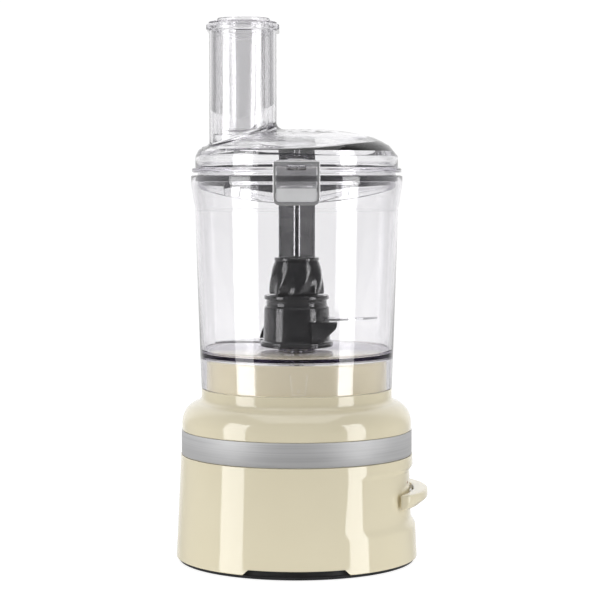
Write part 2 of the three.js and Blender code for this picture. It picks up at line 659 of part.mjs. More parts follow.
function makeSpindle() {
  const top = CHIMNEY_Z + SPINDLE_ABOVE_CHIMNEY;
  return piece('drive_spindle', turned([
    [0, PULLEY_LEVEL - 2], [SPINDLE_RADIUS, PULLEY_LEVEL - 2], [SPINDLE_RADIUS, top - 2],
    [SPINDLE_RADIUS - 2, top], [0, top],
  ], SMALL_ROUND), finish.steel);
}

const BOARD_X = LEVER_AXIS_X - 20;

function makeControlBoard() {
  const board = block(BOARD_X, BOARD_X + 1.6, -28, 28, LEVER_HEIGHT - 16, LEVER_HEIGHT + 34);
  return piece('control_board', board, finish.board);
}

function makeSpeedSwitch() {
  const body = block(BOARD_X + 1.9, BOARD_X + 11, -9, 9, LEVER_HEIGHT - 9, LEVER_HEIGHT + 9);
  return piece('speed_switch', body, finish.black);
}

function makeInterlockSwitch() {
  const y = CAVITY_TOP_RADIUS + 3;
  return piece('interlock_switch', block(-8, 8, y - 8, y + 6, SHOULDER_Z - 14, SHOULDER_Z + 1), finish.black);
}

function makeLever() {
  const tipCentre = PADDLE_TIP_X - PADDLE_RADIUS;
  const inner = recessRadius(LEVER_HEIGHT) + 2;
  const top = LEVER_HEIGHT + 5.5;
  const root = top - PADDLE_ROOT_THICKNESS;
  const tip = top - PADDLE_TIP_THICKNESS;
  const disk = raised(circle(PADDLE_RADIUS, tipCentre, 0), root, top, 22);
  const side = outline([
    [LEVER_AXIS_X - 5, root], [LEVER_AXIS_X + 14, root], [PADDLE_TIP_X - 8, tip], [PADDLE_TIP_X + 2, tip],
    [PADDLE_TIP_X + 2, top + 1], [LEVER_AXIS_X - 5, top + 1],
  ]);
  let paddle = disk.intersect(acrossY(side, -PANEL_HALF_WIDTH, PANEL_HALF_WIDTH));
  paddle = cut(paddle, disc(inner, root - 1, top + 1, LARGE_ROUND, -RECESS_SHIFT));
  const middle = LEVER_HEIGHT;
  const arm = block(LEVER_AXIS_X - 1, inner - 2, -LEVER_ARM_HALF_WIDTH, LEVER_ARM_HALF_WIDTH,
    middle - LEVER_ARM_THICKNESS / 2, middle + LEVER_ARM_THICKNESS / 2);
  const pivot = acrossY(circle(LEVER_PIN_RADIUS, LEVER_AXIS_X, LEVER_HEIGHT), -20, 20);
  return piece('paddle_lever', join(paddle, arm, pivot), finish.cream);
}

// ---- Bowl ----

function makeBowl() {
  const lipInner = LIP_RADIUS - BOWL_WALL;
  const flareZ = LIP_Z - LIP_HEIGHT - FLARE_HEIGHT;
  const skirtInner = NECK_RADIUS - BOWL_WALL;
  const tub = turned([
    [skirtInner, BOWL_Z],
    [NECK_RADIUS - 1.6, BOWL_Z],
    [NECK_RADIUS, BOWL_Z + 2],
    [NECK_RADIUS + 1.2, FLOOR_Z],
    [FLARE_RADIUS, flareZ],
    [FLARE_RADIUS + 0.5, flareZ + FLARE_HEIGHT * 0.25],
    [FLARE_RADIUS + 1.7, flareZ + FLARE_HEIGHT * 0.55],
    [LIP_RADIUS - 0.4, flareZ + FLARE_HEIGHT * 0.85],
    [LIP_RADIUS, LIP_Z - LIP_HEIGHT],
    [LIP_RADIUS, LIP_Z],
    [lipInner, LIP_Z],
    [lipInner, LIP_Z - LIP_HEIGHT - 3],
    [FLARE_RADIUS - 0.9, flareZ + FLARE_HEIGHT * 0.5],
    [FLARE_RADIUS - BOWL_WALL, flareZ],
    [NECK_RADIUS + 1.2 - BOWL_WALL, FLOOR_Z + 4],
    [NECK_RADIUS - BOWL_WALL - 3.5, FLOOR_Z],
    [CHIMNEY_RADIUS, FLOOR_Z],
    [CHIMNEY_RADIUS, CHIMNEY_Z],
    [CHIMNEY_BORE, CHIMNEY_Z],
    [CHIMNEY_BORE, FLOOR_Z - BOWL_WALL],
    [skirtInner, FLOOR_Z - BOWL_WALL],
    [skirtInner, BOWL_Z],
  ]);
  return piece('bowl', tub, finish.clear);
}

const CATCH_TOP_Z = LIP_Z - 8;

function makeCatch() {
  const y = -(LIP_RADIUS + FIT);
  const wedge = outline([
    [y, CATCH_TOP_Z], [y, CATCH_TOP_Z - 9], [y - 0.8, CATCH_TOP_Z - 9],
    [y - CATCH_DEPTH, CATCH_TOP_Z - 2], [y - CATCH_DEPTH, CATCH_TOP_Z],
  ]);
  return piece('latch_catch', acrossX(wedge, -LATCH_WIDTH / 2 + 6, LATCH_WIDTH / 2 - 6), finish.clear);
}

const HANDLE_Y = LIP_RADIUS + 0.6;
const HANDLE_OUT_Y = LIP_RADIUS + HANDLE_REACH;
const HANDLE_TOP_Z = HINGE_Z + 13;
const HANDLE_FOOT_Z = LEDGE_Z - 7;
const POCKET_FLOOR_Z = LIP_Z + 6.4;
const POCKET_BACK_Y = HINGE_Y + KNUCKLE_RADIUS + 2.5;

function handleOutline() {
  const out = HANDLE_OUT_Y;
  const foot = NECK_RADIUS + 1.9;
  return outline([
    [HANDLE_Y, LIP_Z - 17], [HANDLE_Y, HINGE_Z + 7.5],
    [HANDLE_Y + 5, HANDLE_TOP_Z - 1], [HANDLE_Y + 8, HANDLE_TOP_Z], [out - 18, HANDLE_TOP_Z],
    [out - 8, HANDLE_TOP_Z - 4], [out - 2, HANDLE_TOP_Z - 13], [out, HANDLE_TOP_Z - 26],
    [out, HANDLE_TOP_Z - 60], [out - 5, FLOOR_Z + 26], [out - 13, FLOOR_Z - 8], [out - 24, HANDLE_FOOT_Z + 8],
    [out - 36, HANDLE_FOOT_Z], [ROD_Y - 6, HANDLE_FOOT_Z], [foot + 0.6, LEDGE_Z + 4], [foot, LEDGE_Z + 9],
    [foot + 1.2, FLOOR_Z], [FLARE_RADIUS + 0.6, LIP_Z - 30],
  ]);
}

function fingerHole() {
  const inner = HANDLE_Y + BACK_WEB;
  const outer = HANDLE_OUT_Y - GRIP_DEPTH;
  return outline([
    [inner, LIP_Z - 26], [inner + 6, LIP_Z - 18], [outer - 5, LIP_Z - 20], [outer, LIP_Z - 32],
    [outer - 3, FLOOR_Z + 34], [outer - 8, FLOOR_Z + 12], [inner + 7, FLOOR_Z], [inner, FLOOR_Z + 8],
  ]);
}

// The grip's insert, grown by a distance for the pocket that holds it.
function insertBody(grow) {
  const inner = HANDLE_OUT_Y - GRIP_DEPTH + 4 - grow;
  const shape = outline([
    [inner - 3, HANDLE_TOP_Z - 5 + grow], [inner - 3, LIP_Z - 14 - grow], [inner, LIP_Z - 30],
    [inner - 3, FLOOR_Z + 32], [inner - 4, FLOOR_Z + 6 - grow], [HANDLE_OUT_Y + 20, FLOOR_Z + 6 - grow],
    [HANDLE_OUT_Y + 20, HANDLE_TOP_Z - 5 + grow],
  ]);
  return acrossX(shape, -INSERT_HALF_WIDTH - grow, INSERT_HALF_WIDTH + grow);
}

function handleBody() {
  return acrossX(handleOutline(), -HANDLE_HALF_WIDTH, HANDLE_HALF_WIDTH);
}

function makeHandle() {
  const half = HINGE_ARM_HALF_WIDTH + RUN;
  const pocket = block(-half, half, HANDLE_Y - 1, POCKET_BACK_Y, POCKET_FLOOR_Z, HANDLE_TOP_Z + 1);
  const pinRound = circle(HINGE_PIN_RADIUS + FIT, HINGE_Y, HINGE_Z);
  const pinHole = acrossX(pinRound, -HANDLE_HALF_WIDTH + 2, HANDLE_HALF_WIDTH + 1);
  const hole = acrossX(fingerHole(), -HANDLE_HALF_WIDTH - 1, HANDLE_HALF_WIDTH + 1);
  const rodBore = disc(ROD_RADIUS + RUN, HANDLE_FOOT_Z - 1, POCKET_FLOOR_Z + 1, SMALL_ROUND, 0, ROD_Y);
  const body = cut(handleBody(), pocket, pinHole, hole, rodBore, insertBody(FIT));
  return piece('bowl_handle', body, finish.clear);
}

function makeHandleInsert() {
  return piece('handle_insert', handleBody().intersect(insertBody(0)), finish.hub);
}

function makeHingePin() {
  const pin = acrossX(circle(HINGE_PIN_RADIUS, HINGE_Y, HINGE_Z), -HANDLE_HALF_WIDTH + 2.4, HANDLE_HALF_WIDTH);
  return piece('hinge_pin', pin, finish.steel);
}

function makeInterlockRod() {
  const rod = disc(ROD_RADIUS, ROD_TIP_Z, POCKET_FLOOR_Z + 1.2, SMALL_ROUND, 0, ROD_Y);
  return piece('interlock_rod', rod, finish.satin);
}

// ---- Blade ----

const HUB_CAVITY = CHIMNEY_RADIUS + 1.5;

// A curved knife from the hub outward, toward +X with side 1 and toward -X with side -1.
// It is grown by a distance for the slot that holds it.
function knife(side, z, grow) {
  const shape = new THREE.Shape();
  const root = side * (HUB_CAVITY + 3 - grow);
  const reach = side * BLADE_REACH;
  shape.moveTo(root, side * (-13 - grow));
  shape.quadraticCurveTo(reach * 0.62, side * (-22 - grow), reach, side * 6);
  shape.quadraticCurveTo(reach * 0.66, side * (-3 + grow), root, side * (9 + grow));
  shape.closePath();
  return raised(shape, z - grow, z + BLADE_THICKNESS + grow, 8);
}

function makeHub() {
  const flange = HUB_RADIUS + HUB_FLANGE_OUT;
  const bore = SPINDLE_RADIUS + RUN;
  const capZ = CHIMNEY_Z + SPINDLE_ABOVE_CHIMNEY + 1;
  const body = turned([
    [HUB_CAVITY, HUB_Z], [flange, HUB_Z], [flange, HUB_Z + 4],
    [HUB_RADIUS, HUB_Z + 5], [HUB_RADIUS, COLLAR_Z - 7],
    [HUB_RADIUS - 2.5, COLLAR_Z - 5.5], [HUB_RADIUS - 2.5, COLLAR_Z - 0.6], [HUB_RADIUS - 0.8, COLLAR_Z],
    [HUB_RADIUS - 0.8, COLLAR_Z + 3], [HUB_WALL_TOP, COLLAR_Z + 3.6], [HUB_WALL_TOP, capZ + 3], [0, capZ + 3],
    [0, capZ], [bore, capZ], [bore, CHIMNEY_Z + 2], [HUB_CAVITY, CHIMNEY_Z + 2], [HUB_CAVITY, HUB_Z],
  ], 28);
  const lower = knife(-1, HUB_Z + LOWER_BLADE_RISE, FIT);
  const upper = knife(1, HUB_Z + UPPER_BLADE_RISE, FIT);
  return piece('blade_hub', cut(body, lower, upper), finish.hub);
}

function makeGrip() {
  const turns = 4;
  const grip = new THREE.CylinderGeometry(GRIP_RADIUS, GRIP_RADIUS, GRIP_HEIGHT, 12, turns);
  grip.rotateX(Math.PI / 2);
  const position = grip.getAttribute('position');
  for (let i = 0; i < position.count; i += 1) {
    const share = position.getZ(i) / GRIP_HEIGHT;
    const belly = 1 + 0.07 * (1 - 4 * share * share);
    const twist = share * 0.5;
    const [x, y] = [position.getX(i) * belly, position.getY(i) * belly];
    position.setX(i, x * Math.cos(twist) - y * Math.sin(twist));
    position.setY(i, x * Math.sin(twist) + y * Math.cos(twist));
  }
  const gripZ = COLLAR_Z + 3.6 + FIT;
  grip.translate(0, 0, gripZ + GRIP_HEIGHT / 2);
  const stub = disc(HUB_WALL_TOP + FIT, gripZ - 1, CHIMNEY_Z + SPINDLE_ABOVE_CHIMNEY + 4 + FIT, 28);
  return piece('hub_grip', cut(solid(grip), stub), finish.hub);
}

function makeBlades() {
  return [
    piece('lower_blade', knife(-1, HUB_Z + LOWER_BLADE_RISE, 0), finish.steel),
    piece('upper_blade', knife(1, HUB_Z + UPPER_BLADE_RISE, 0), finish.steel),
  ];
}

// ---- Lid ----

function stadium(halfX, halfY, x) {
  const shape = new THREE.Shape();
  const straight = halfY - halfX;
  shape.absarc(x, straight, halfX, 0, Math.PI, false);
  shape.absarc(x, -straight, halfX, Math.PI, 2 * Math.PI, false);
  return shape;
}

function domePoints(radius, height, steps) {
  const points = [];
  for (let i = 0; i <= steps; i += 1) {
    const angle = (i * Math.PI) / 2 / steps;
    points.push([radius * Math.cos(angle), DOME_Z + height * Math.sin(angle)]);
  }
  points[steps][0] = 0;
  return points;
}

const PUSHER_HALF_X = TUBE_HALF_WIDTH - LID_WALL - RUN;
const PUSHER_HALF_Y = TUBE_HALF_DEPTH - LID_WALL - RUN;

function makeLid() {
  const skirtZ = LIP_Z - LID_SKIRT_DEPTH;
  const sealTop = LIP_Z;
  const shell = turned([
    [0, skirtZ],
    [SKIRT_RADIUS, skirtZ],
    [SKIRT_RADIUS, sealTop - SEAL_HEIGHT - 2 * FIT],
    [SKIRT_RADIUS - 1.3, sealTop - SEAL_HEIGHT - 2 * FIT],
    [SKIRT_RADIUS - 1.3, sealTop],
    [SKIRT_RADIUS, sealTop],
    [SKIRT_RADIUS, FLANGE_Z],
    [LIP_RADIUS - 0.8, FLANGE_Z],
    [LIP_RADIUS - 0.8, FLANGE_Z + FLANGE_THICKNESS - 0.8],
    [DOME_RADIUS, FLANGE_Z + FLANGE_THICKNESS],
    ...domePoints(DOME_RADIUS, DOME_HEIGHT, 6),
  ]);
  const inside = turned([
    [0, skirtZ - 1],
    [SKIRT_RADIUS - 3.4, skirtZ - 1],
    [SKIRT_RADIUS - 3.4, FLANGE_Z + FLANGE_THICKNESS],
    ...domePoints(SKIRT_RADIUS - 3.4, DOME_HEIGHT - LID_WALL, 6),
  ]);
  const rimX = TUBE_HALF_WIDTH + TUBE_RIM_OUT;
  const rimY = TUBE_HALF_DEPTH + TUBE_RIM_OUT;
  const tube = raised(stadium(TUBE_HALF_WIDTH, TUBE_HALF_DEPTH, -TUBE_OFFSET), DOME_Z - 4, TUBE_Z, 9);
  const rim = raised(stadium(rimX, rimY, -TUBE_OFFSET), TUBE_Z - TUBE_RIM_HEIGHT, TUBE_Z, 9);
  const boreRound = stadium(TUBE_HALF_WIDTH - LID_WALL, TUBE_HALF_DEPTH - LID_WALL, -TUBE_OFFSET);
  const bore = raised(boreRound, skirtZ, TUBE_Z + 1, 9);
  const knuckle = makeLatchKnuckle();
  const arm = makeHingeArm();
  const shellWithTube = cut(join(shell, tube, rim, knuckle, arm), inside, bore);
  const pinBore = acrossX(circle(LATCH_PIN_RADIUS + FIT, LATCH_PIN_Y, LATCH_PIN_Z), -20, 20);
  const hingeBore = acrossX(circle(HINGE_PIN_RADIUS + FIT, HINGE_Y, HINGE_Z), -20, 20);
  return piece('lid', cut(shellWithTube, pinBore, hingeBore), finish.clear);
}

const LATCH_TOP_Z = FLANGE_Z + FLANGE_THICKNESS + LATCH_ABOVE_FLANGE;
const LATCH_INNER_Y = -(LIP_RADIUS + FIT + CATCH_DEPTH + RUN);
const LATCH_PIN_Y = LATCH_INNER_Y - LATCH_THICKNESS / 2;
const LATCH_PIN_Z = LATCH_TOP_Z - 3;

function makeLatchKnuckle() {
  const side = outline([
    [-DOME_RADIUS + 2, LATCH_TOP_Z - 6], [LATCH_PIN_Y, LATCH_PIN_Z - 2.6], [LATCH_PIN_Y - 2.4, LATCH_PIN_Z],
    [LATCH_PIN_Y, LATCH_PIN_Z + 2.6], [-DOME_RADIUS + 2, LATCH_TOP_Z + 1],
  ]);
  return acrossX(side, -KNUCKLE_HALF_WIDTH, KNUCKLE_HALF_WIDTH);
}

function makeHingeArm() {
  const low = POCKET_FLOOR_Z + 2;
  const side = outline([
    [DOME_RADIUS - 3, low], [ROD_Y + 3, low], [HINGE_Y, HINGE_Z - KNUCKLE_RADIUS],
    ...arcPoints([HINGE_Y, HINGE_Z], KNUCKLE_RADIUS, -60, 90, 5),
    [DOME_RADIUS + 3, HINGE_Z + KNUCKLE_RADIUS - 1],
    [DOME_RADIUS - 6, DOME_Z + 6],
  ]);
  return acrossX(side, -HINGE_ARM_HALF_WIDTH, HINGE_ARM_HALF_WIDTH);
}

function makeSeal() {
  const low = LIP_Z - SEAL_HEIGHT - FIT;
  const inner = SKIRT_RADIUS - 1.3 + FIT;
  const seal = ring(inner, SKIRT_RADIUS + LID_SKIRT_GAP - RUN, low, LIP_Z - FIT);
  return piece('lid_seal', seal, finish.seal);
}

// ---- Latch ----

function makeLatchFrame() {
  const half = LATCH_WIDTH / 2;
  const low = LATCH_TOP_Z - LATCH_HEIGHT;
  const face = roundedRectangle(-half, half, low, LATCH_TOP_Z, 5);
  const hoop = acrossY(face, LATCH_INNER_Y - LATCH_THICKNESS, LATCH_INNER_Y, 4);
  const window = block(-half + LATCH_BAR, half - LATCH_BAR, -200, 0, low + LATCH_BAR, LATCH_TOP_Z + 1);
  const pinBore = acrossX(circle(LATCH_PIN_RADIUS + FIT, LATCH_PIN_Y, LATCH_PIN_Z), -half - 1, half + 1, 6);
  return piece('latch_frame', cut(hoop, window, pinBore), finish.chrome);
}

function latchInside(low, high) {
  const half = LATCH_WIDTH / 2 - LATCH_BAR - FIT;
  return block(-half, half, LATCH_INNER_Y - LATCH_THICKNESS + 0.4, LATCH_INNER_Y - 0.3, low, high);
}

function makeLatchPlate() {
  const low = LATCH_TOP_Z - LATCH_HEIGHT + LATCH_BAR + FIT;
  return piece('latch_plate', latchInside(low, low + LATCH_PLATE_HEIGHT), finish.satin);
}

function makeLatchBlock() {
  const low = LATCH_TOP_Z - LATCH_HEIGHT + LATCH_BAR + LATCH_PLATE_HEIGHT + 2 * FIT;
  const body = latchInside(low, LATCH_TOP_Z);
  const half = KNUCKLE_HALF_WIDTH + RUN;
  const knuckleSlot = block(-half, half, -200, 0, LATCH_PIN_Z - 5, LATCH_TOP_Z + 1);
  const pinBore = acrossX(circle(LATCH_PIN_RADIUS + FIT, LATCH_PIN_Y, LATCH_PIN_Z), -20, 20, 6);
  return piece('latch_window', cut(body, knuckleSlot, pinBore), finish.clear);
}

function makeLatchPin() {
  const half = LATCH_WIDTH / 2 - 0.4;
  const pin = acrossX(circle(LATCH_PIN_RADIUS, LATCH_PIN_Y, LATCH_PIN_Z), -half, half, 6);
  return piece('latch_pin', pin, finish.steel);
}

// ---- Pushers ----

const DECK_Z = TUBE_Z + 0.4;
const CUP_BORE = CUP_RADIUS + RUN;

function makeFoodPusher() {
  const deckEdge = stadium(TUBE_HALF_WIDTH + 0.5, TUBE_HALF_DEPTH + 0.5, -TUBE_OFFSET);
  const deck = raised(deckEdge, DECK_Z, DECK_Z + PUSHER_DECK, 9);
  const outer = raised(stadium(PUSHER_HALF_X, PUSHER_HALF_Y, -TUBE_OFFSET), PUSHER_FOOT_Z, DECK_Z + 0.5, 9);
  const inside = stadium(PUSHER_HALF_X - PUSHER_WALL, PUSHER_HALF_Y - PUSHER_WALL, -TUBE_OFFSET);
  const hollow = raised(inside, PUSHER_FOOT_Z - 1, DECK_Z - 0.5, 9);
  const sleeve = disc(CUP_BORE + PUSHER_WALL, PUSHER_FOOT_Z, DECK_Z, 24, -TUBE_OFFSET);
  const bore = disc(CUP_BORE, PUSHER_FOOT_Z - 1, DECK_Z + 5, 24, -TUBE_OFFSET);
  return piece('food_pusher', cut(join(cut(join(deck, outer), hollow), sleeve), bore), finish.clear);
}

function makeSmallPusher() {
  const rimZ = DECK_Z + PUSHER_DECK + 0.5;
  const foot = PUSHER_FOOT_Z + 2;
  const inner = CUP_RADIUS - CUP_WALL;
  const cup = turned([
    [0, foot], [CUP_RADIUS - CUP_TAPER, foot], [CUP_RADIUS, rimZ], [CUP_RADIUS + CUP_RIM_OUT, rimZ],
    [CUP_RADIUS + CUP_RIM_OUT, rimZ + CUP_RIM_HEIGHT], [inner, rimZ + CUP_RIM_HEIGHT],
    [inner - CUP_TAPER, foot + CUP_WALL], [0, foot + CUP_WALL],
  ], 24);
  const pusher = piece('small_pusher', cup, finish.clear);
  pusher.position.x = -TUBE_OFFSET;
  return pusher;
}

// ---- The whole machine ----

function group(...pieces) {
  const result = new THREE.Group();
  result.add(...pieces);
  return result;
}

const base = group(
  makeHousing(), makeBand(), makeBasePlate(), ...makeFeet(), ...makeScrews(),
  makePanel(), makeLens(), makeInlet(),
  makeChassis(), makeBearing('lower_bearing', CHASSIS_Z + FIT), makeBearing('upper_bearing', UPPER_BEARING_Z),
  makeStator(), makeWindings(), makeBelt(), makeControlBoard(), makeSpeedSwitch(), makeInterlockSwitch(),
);
const smallPulley = makePulley('motor_pulley', MOTOR_SHAFT_RADIUS, SMALL_PULLEY_RADIUS, -MOTOR_OFFSET);
const largePulley = makePulley('spindle_pulley', SPINDLE_RADIUS, LARGE_PULLEY_RADIUS, 0);
const motor = group(makeRotor(), makeMotorShaft(), makeFan(), smallPulley);
const drive = group(makeSpindle(), largePulley);
const bowlSet = group(
  makeBowl(), makeCatch(), makeHandle(), makeHandleInsert(), makeHingePin(), makeInterlockRod(),
);
const bladeSet = group(makeHub(), makeGrip(), ...makeBlades());
const latch = group(makeLatchFrame(), makeLatchPlate(), makeLatchBlock(), makeLatchPin());
const pushers = group(makeFoodPusher(), makeSmallPusher());
const lidSet = group(makeLid(), makeSeal(), latch, pushers);

export default group(base, motor, drive, makeLever(), bowlSet, bladeSet, lidSet);
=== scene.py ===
import math

import bmesh
import bpy
from mathutils import Matrix, Vector


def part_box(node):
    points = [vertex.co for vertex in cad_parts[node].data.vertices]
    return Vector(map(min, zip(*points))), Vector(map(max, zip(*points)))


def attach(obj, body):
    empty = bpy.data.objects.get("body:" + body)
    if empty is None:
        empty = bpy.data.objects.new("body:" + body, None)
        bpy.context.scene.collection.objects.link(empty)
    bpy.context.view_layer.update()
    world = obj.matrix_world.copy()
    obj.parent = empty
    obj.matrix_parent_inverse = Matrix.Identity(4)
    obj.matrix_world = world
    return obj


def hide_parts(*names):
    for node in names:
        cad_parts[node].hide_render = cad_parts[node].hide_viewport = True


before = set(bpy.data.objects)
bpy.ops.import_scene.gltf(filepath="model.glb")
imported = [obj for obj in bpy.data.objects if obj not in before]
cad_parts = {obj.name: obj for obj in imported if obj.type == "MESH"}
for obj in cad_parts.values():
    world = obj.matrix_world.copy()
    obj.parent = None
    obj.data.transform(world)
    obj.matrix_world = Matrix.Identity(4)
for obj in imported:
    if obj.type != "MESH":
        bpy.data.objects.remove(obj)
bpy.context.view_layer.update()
MM = 0.001

# ---- Camera ----
# The machine is seen square from the side that carries the latch, from just above the bowl's middle.
CAMERA_BACK = 1.589             # metres from the drive axis
CAMERA_HEIGHT = 0.310
CAMERA_SIDE = 0.0027
CAMERA_TILT = math.radians(3.52)  # downward
lens = bpy.data.cameras.new("side_view")
lens.lens = 117.0
lens.sensor_width = 36.0
lens.clip_end = 30.0
camera = bpy.data.objects.new("side_view", lens)
camera.location = (CAMERA_SIDE, -CAMERA_BACK, CAMERA_HEIGHT)
camera.rotation_euler = (math.radians(90) - CAMERA_TILT, 0, 0)
bpy.context.scene.collection.objects.link(camera)
bpy.context.scene.camera = camera

# ---- Studio ----
# A white sweep under and behind the machine, two upright soft boxes at the front corners and a top light.
# The room is white where it is looked at; for reflections it is dark in front and bright behind and above.
scene = bpy.context.scene
scene.view_settings.view_transform = "Standard"
scene.cycles.max_bounces = 40
scene.cycles.transmission_bounces = 36
scene.cycles.glossy_bounces = 16
scene.cycles.diffuse_bounces = 6


def soft_box(name, azimuth, distance, height, width, tall, power):
    """A soft box that faces the machine; azimuth is measured from the camera's side, to the right."""
    light = bpy.data.lights.new(name, "AREA")
    light.shape = "RECTANGLE"
    light.size = width
    light.size_y = tall
    light.energy = power
    lamp = bpy.data.objects.new(name, light)
    turn = math.radians(azimuth)
    lamp.location = (distance * math.sin(turn), -distance * math.cos(turn), height)
    target = Vector((0, 0, 0.2)) - lamp.location
    lamp.rotation_euler = target.to_track_quat("-Z", "Y").to_euler()
    scene.collection.objects.link(lamp)


soft_box("left_box", -63, 1.6, 0.35, 0.72, 1.5, 15)
soft_box("right_box", 60, 1.6, 0.35, 0.58, 1.5, 13)
soft_box("top_box", 0, 0.3, 1.9, 1.8, 1.8, 13)

world = bpy.data.worlds.new("studio")
scene.world = world
world.use_nodes = True
nodes, links = world.node_tree.nodes, world.node_tree.links
room = nodes["Background"]
direction = nodes.new("ShaderNodeTexCoord")
ahead = nodes.new("ShaderNodeVectorMath")
ahead.operation = "DOT_PRODUCT"
ahead.inputs[1].default_value = (0.0, 0.85, 0.5)
shade = nodes.new("ShaderNodeValToRGB")
shade.color_ramp.interpolation = "EASE"
shade.color_ramp.elements[0].color = (0.06, 0.06, 0.06, 1)
shade.color_ramp.elements[1].color = (1.1, 1.1, 1.1, 1)
for position, grey in ((0.5, 0.10), (0.78, 0.30), (0.90, 1.0)):
    shade.color_ramp.elements.new(position).color = (grey, grey, grey, 1)
spread = nodes.new("ShaderNodeMapRange")
spread.inputs["From Min"].default_value = -1.0
spread.inputs["From Max"].default_value = 1.0
pale = nodes.new("ShaderNodeMix")
pale.data_type = "RGBA"
pale.inputs[7].default_value = (1.05, 1.05, 1.05, 1)
ray = nodes.new("ShaderNodeLightPath")
links.new(direction.outputs["Generated"], ahead.inputs[0])
links.new(ahead.outputs["Value"], spread.inputs["Value"])
links.new(spread.outputs["Result"], shade.inputs["Fac"])
links.new(ray.outputs["Is Camera Ray"], pale.inputs[0])
links.new(shade.outputs["Color"], pale.inputs[6])
links.new(pale.outputs[2], room.inputs["Color"])


def new_object(name, bm, smooth_below=40):
    """The finished bmesh as an object; edges sharper than the angle stay sharp."""
    mesh = bpy.data.meshes.new(name)
    bm.to_mesh(mesh)
    bm.free()
    for polygon in mesh.polygons:
        polygon.use_smooth = True
    mesh.set_sharp_from_angle(angle=math.radians(smooth_below))
    made = bpy.data.objects.new(name, mesh)
    scene.collection.objects.link(made)
    return made


def new_material(name):
    """An empty node material with its shader, its node tree and the object coordinates."""
    material = bpy.data.materials.new(name)
    material.use_nodes = True
    tree = material.node_tree
    where = tree.nodes.new("ShaderNodeTexCoord").outputs["Object"]
    return material, tree, tree.nodes["Principled BSDF"], where


def add_node(tree, kind, **values):
    """A node with the values of its named sockets set."""
    node = tree.nodes.new(kind)
    for socket, value in values.items():
        node.inputs[socket.replace("_", " ")].default_value = value
    return node


def mapped_noise(tree, where, stretch, scale, detail=3.0):
    """Noise on object coordinates that are stretched first, so that a grain can have a direction."""
    mapping = add_node(tree, "ShaderNodeMapping", Scale=stretch)
    noise = add_node(tree, "ShaderNodeTexNoise", Scale=scale, Detail=detail)
    tree.links.new(where, mapping.inputs["Vector"])
    tree.links.new(mapping.outputs["Vector"], noise.inputs["Vector"])
    return noise.outputs["Fac"]


def vary(tree, source, shader_socket, low, high):
    """A texture value drives a number on the shader between two limits."""
    reach = tree.nodes.new("ShaderNodeMapRange")
    reach.inputs["From Min"].default_value = 0.3
    reach.inputs["From Max"].default_value = 0.7
    reach.inputs["To Min"].default_value = low
    reach.inputs["To Max"].default_value = high
    tree.links.new(source, reach.inputs["Value"])
    tree.links.new(reach.outputs["Result"], shader_socket)


def tint(tree, source, shader, dark, light):
    """A texture value mixes the base colour between two shades."""
    ramp = tree.nodes.new("ShaderNodeValToRGB")
    ramp.color_ramp.elements[0].position = 0.3
    ramp.color_ramp.elements[0].color = (*dark, 1)
    ramp.color_ramp.elements[1].position = 0.7
    ramp.color_ramp.elements[1].color = (*light, 1)
    tree.links.new(source, ramp.inputs["Fac"])
    tree.links.new(ramp.outputs["Color"], shader.inputs["Base Color"])


def roughen(tree, source, shader, distance, strength):
    """A texture value as a bump on the surface."""
    bump = add_node(tree, "ShaderNodeBump", Distance=distance, Strength=strength)
    tree.links.new(source, bump.inputs["Height"])
    tree.links.new(bump.outputs["Normal"], shader.inputs["Normal"])


FLOOR_GLOW, FLOOR_GLOW_FRONT = 0.84, 0.03
floor_mesh = bmesh.new()
bmesh.ops.create_grid(floor_mesh, x_segments=1, y_segments=1, size=60.0)
floor = new_object("sweep", floor_mesh)
sweep_paint, tree, shader, where = new_material("sweep_paint")
shader.inputs["Roughness"].default_value = 0.65
shader.inputs["Specular IOR Level"].default_value = 0.2
shader.inputs["Emission Color"].default_value = (1, 1, 1, 1)
place = tree.nodes.new("ShaderNodeSeparateXYZ")
glow = tree.nodes.new("ShaderNodeMapRange")
glow.inputs["From Min"].default_value = -0.55
glow.inputs["From Max"].default_value = -0.20
glow.inputs["To Min"].default_value = FLOOR_GLOW_FRONT
glow.inputs["To Max"].default_value = FLOOR_GLOW
seen = tree.nodes.new("ShaderNodeMix")
seen.inputs[3].default_value = FLOOR_GLOW
tree.links.new(where, place.inputs[0])
tree.links.new(place.outputs["Y"], glow.inputs["Value"])
tree.links.new(tree.nodes.new("ShaderNodeLightPath").outputs["Is Camera Ray"], seen.inputs[0])
tree.links.new(glow.outputs["Result"], seen.inputs[2])
tree.links.new(seen.outputs[0], shader.inputs["Emission Strength"])
tint(tree, mapped_noise(tree, where, (1, 1, 1), 3.0), shader, (0.36, 0.36, 0.36), (0.38, 0.38, 0.38))
floor.data.materials.append(sweep_paint)
floor.visible_glossy = False


# ---- Housing ----
# One glossy cream moulding: a drum that narrows upward, a groove for the band, a round shoulder, the neck
# that the bowl stands on and the raised centre inside the bowl's skirt. Its front is set back for the panel.
cream, tree, shader, where = new_material("cream_gloss")
shader.inputs["IOR"].default_value = 1.5
shader.inputs["Coat Weight"].default_value = 0.4
shader.inputs["Coat Roughness"].default_value = 0.03
tint(tree, mapped_noise(tree, where, (1, 1, 1), 14.0), shader, (0.780, 0.712, 0.525), (0.800, 0.734, 0.548))
vary(tree, mapped_noise(tree, where, (1, 1, 1), 160.0), shader.inputs["Roughness"], 0.07, 0.12)
roughen(tree, mapped_noise(tree, where, (1, 1, 1), 900.0), shader, 0.00004, 0.12)


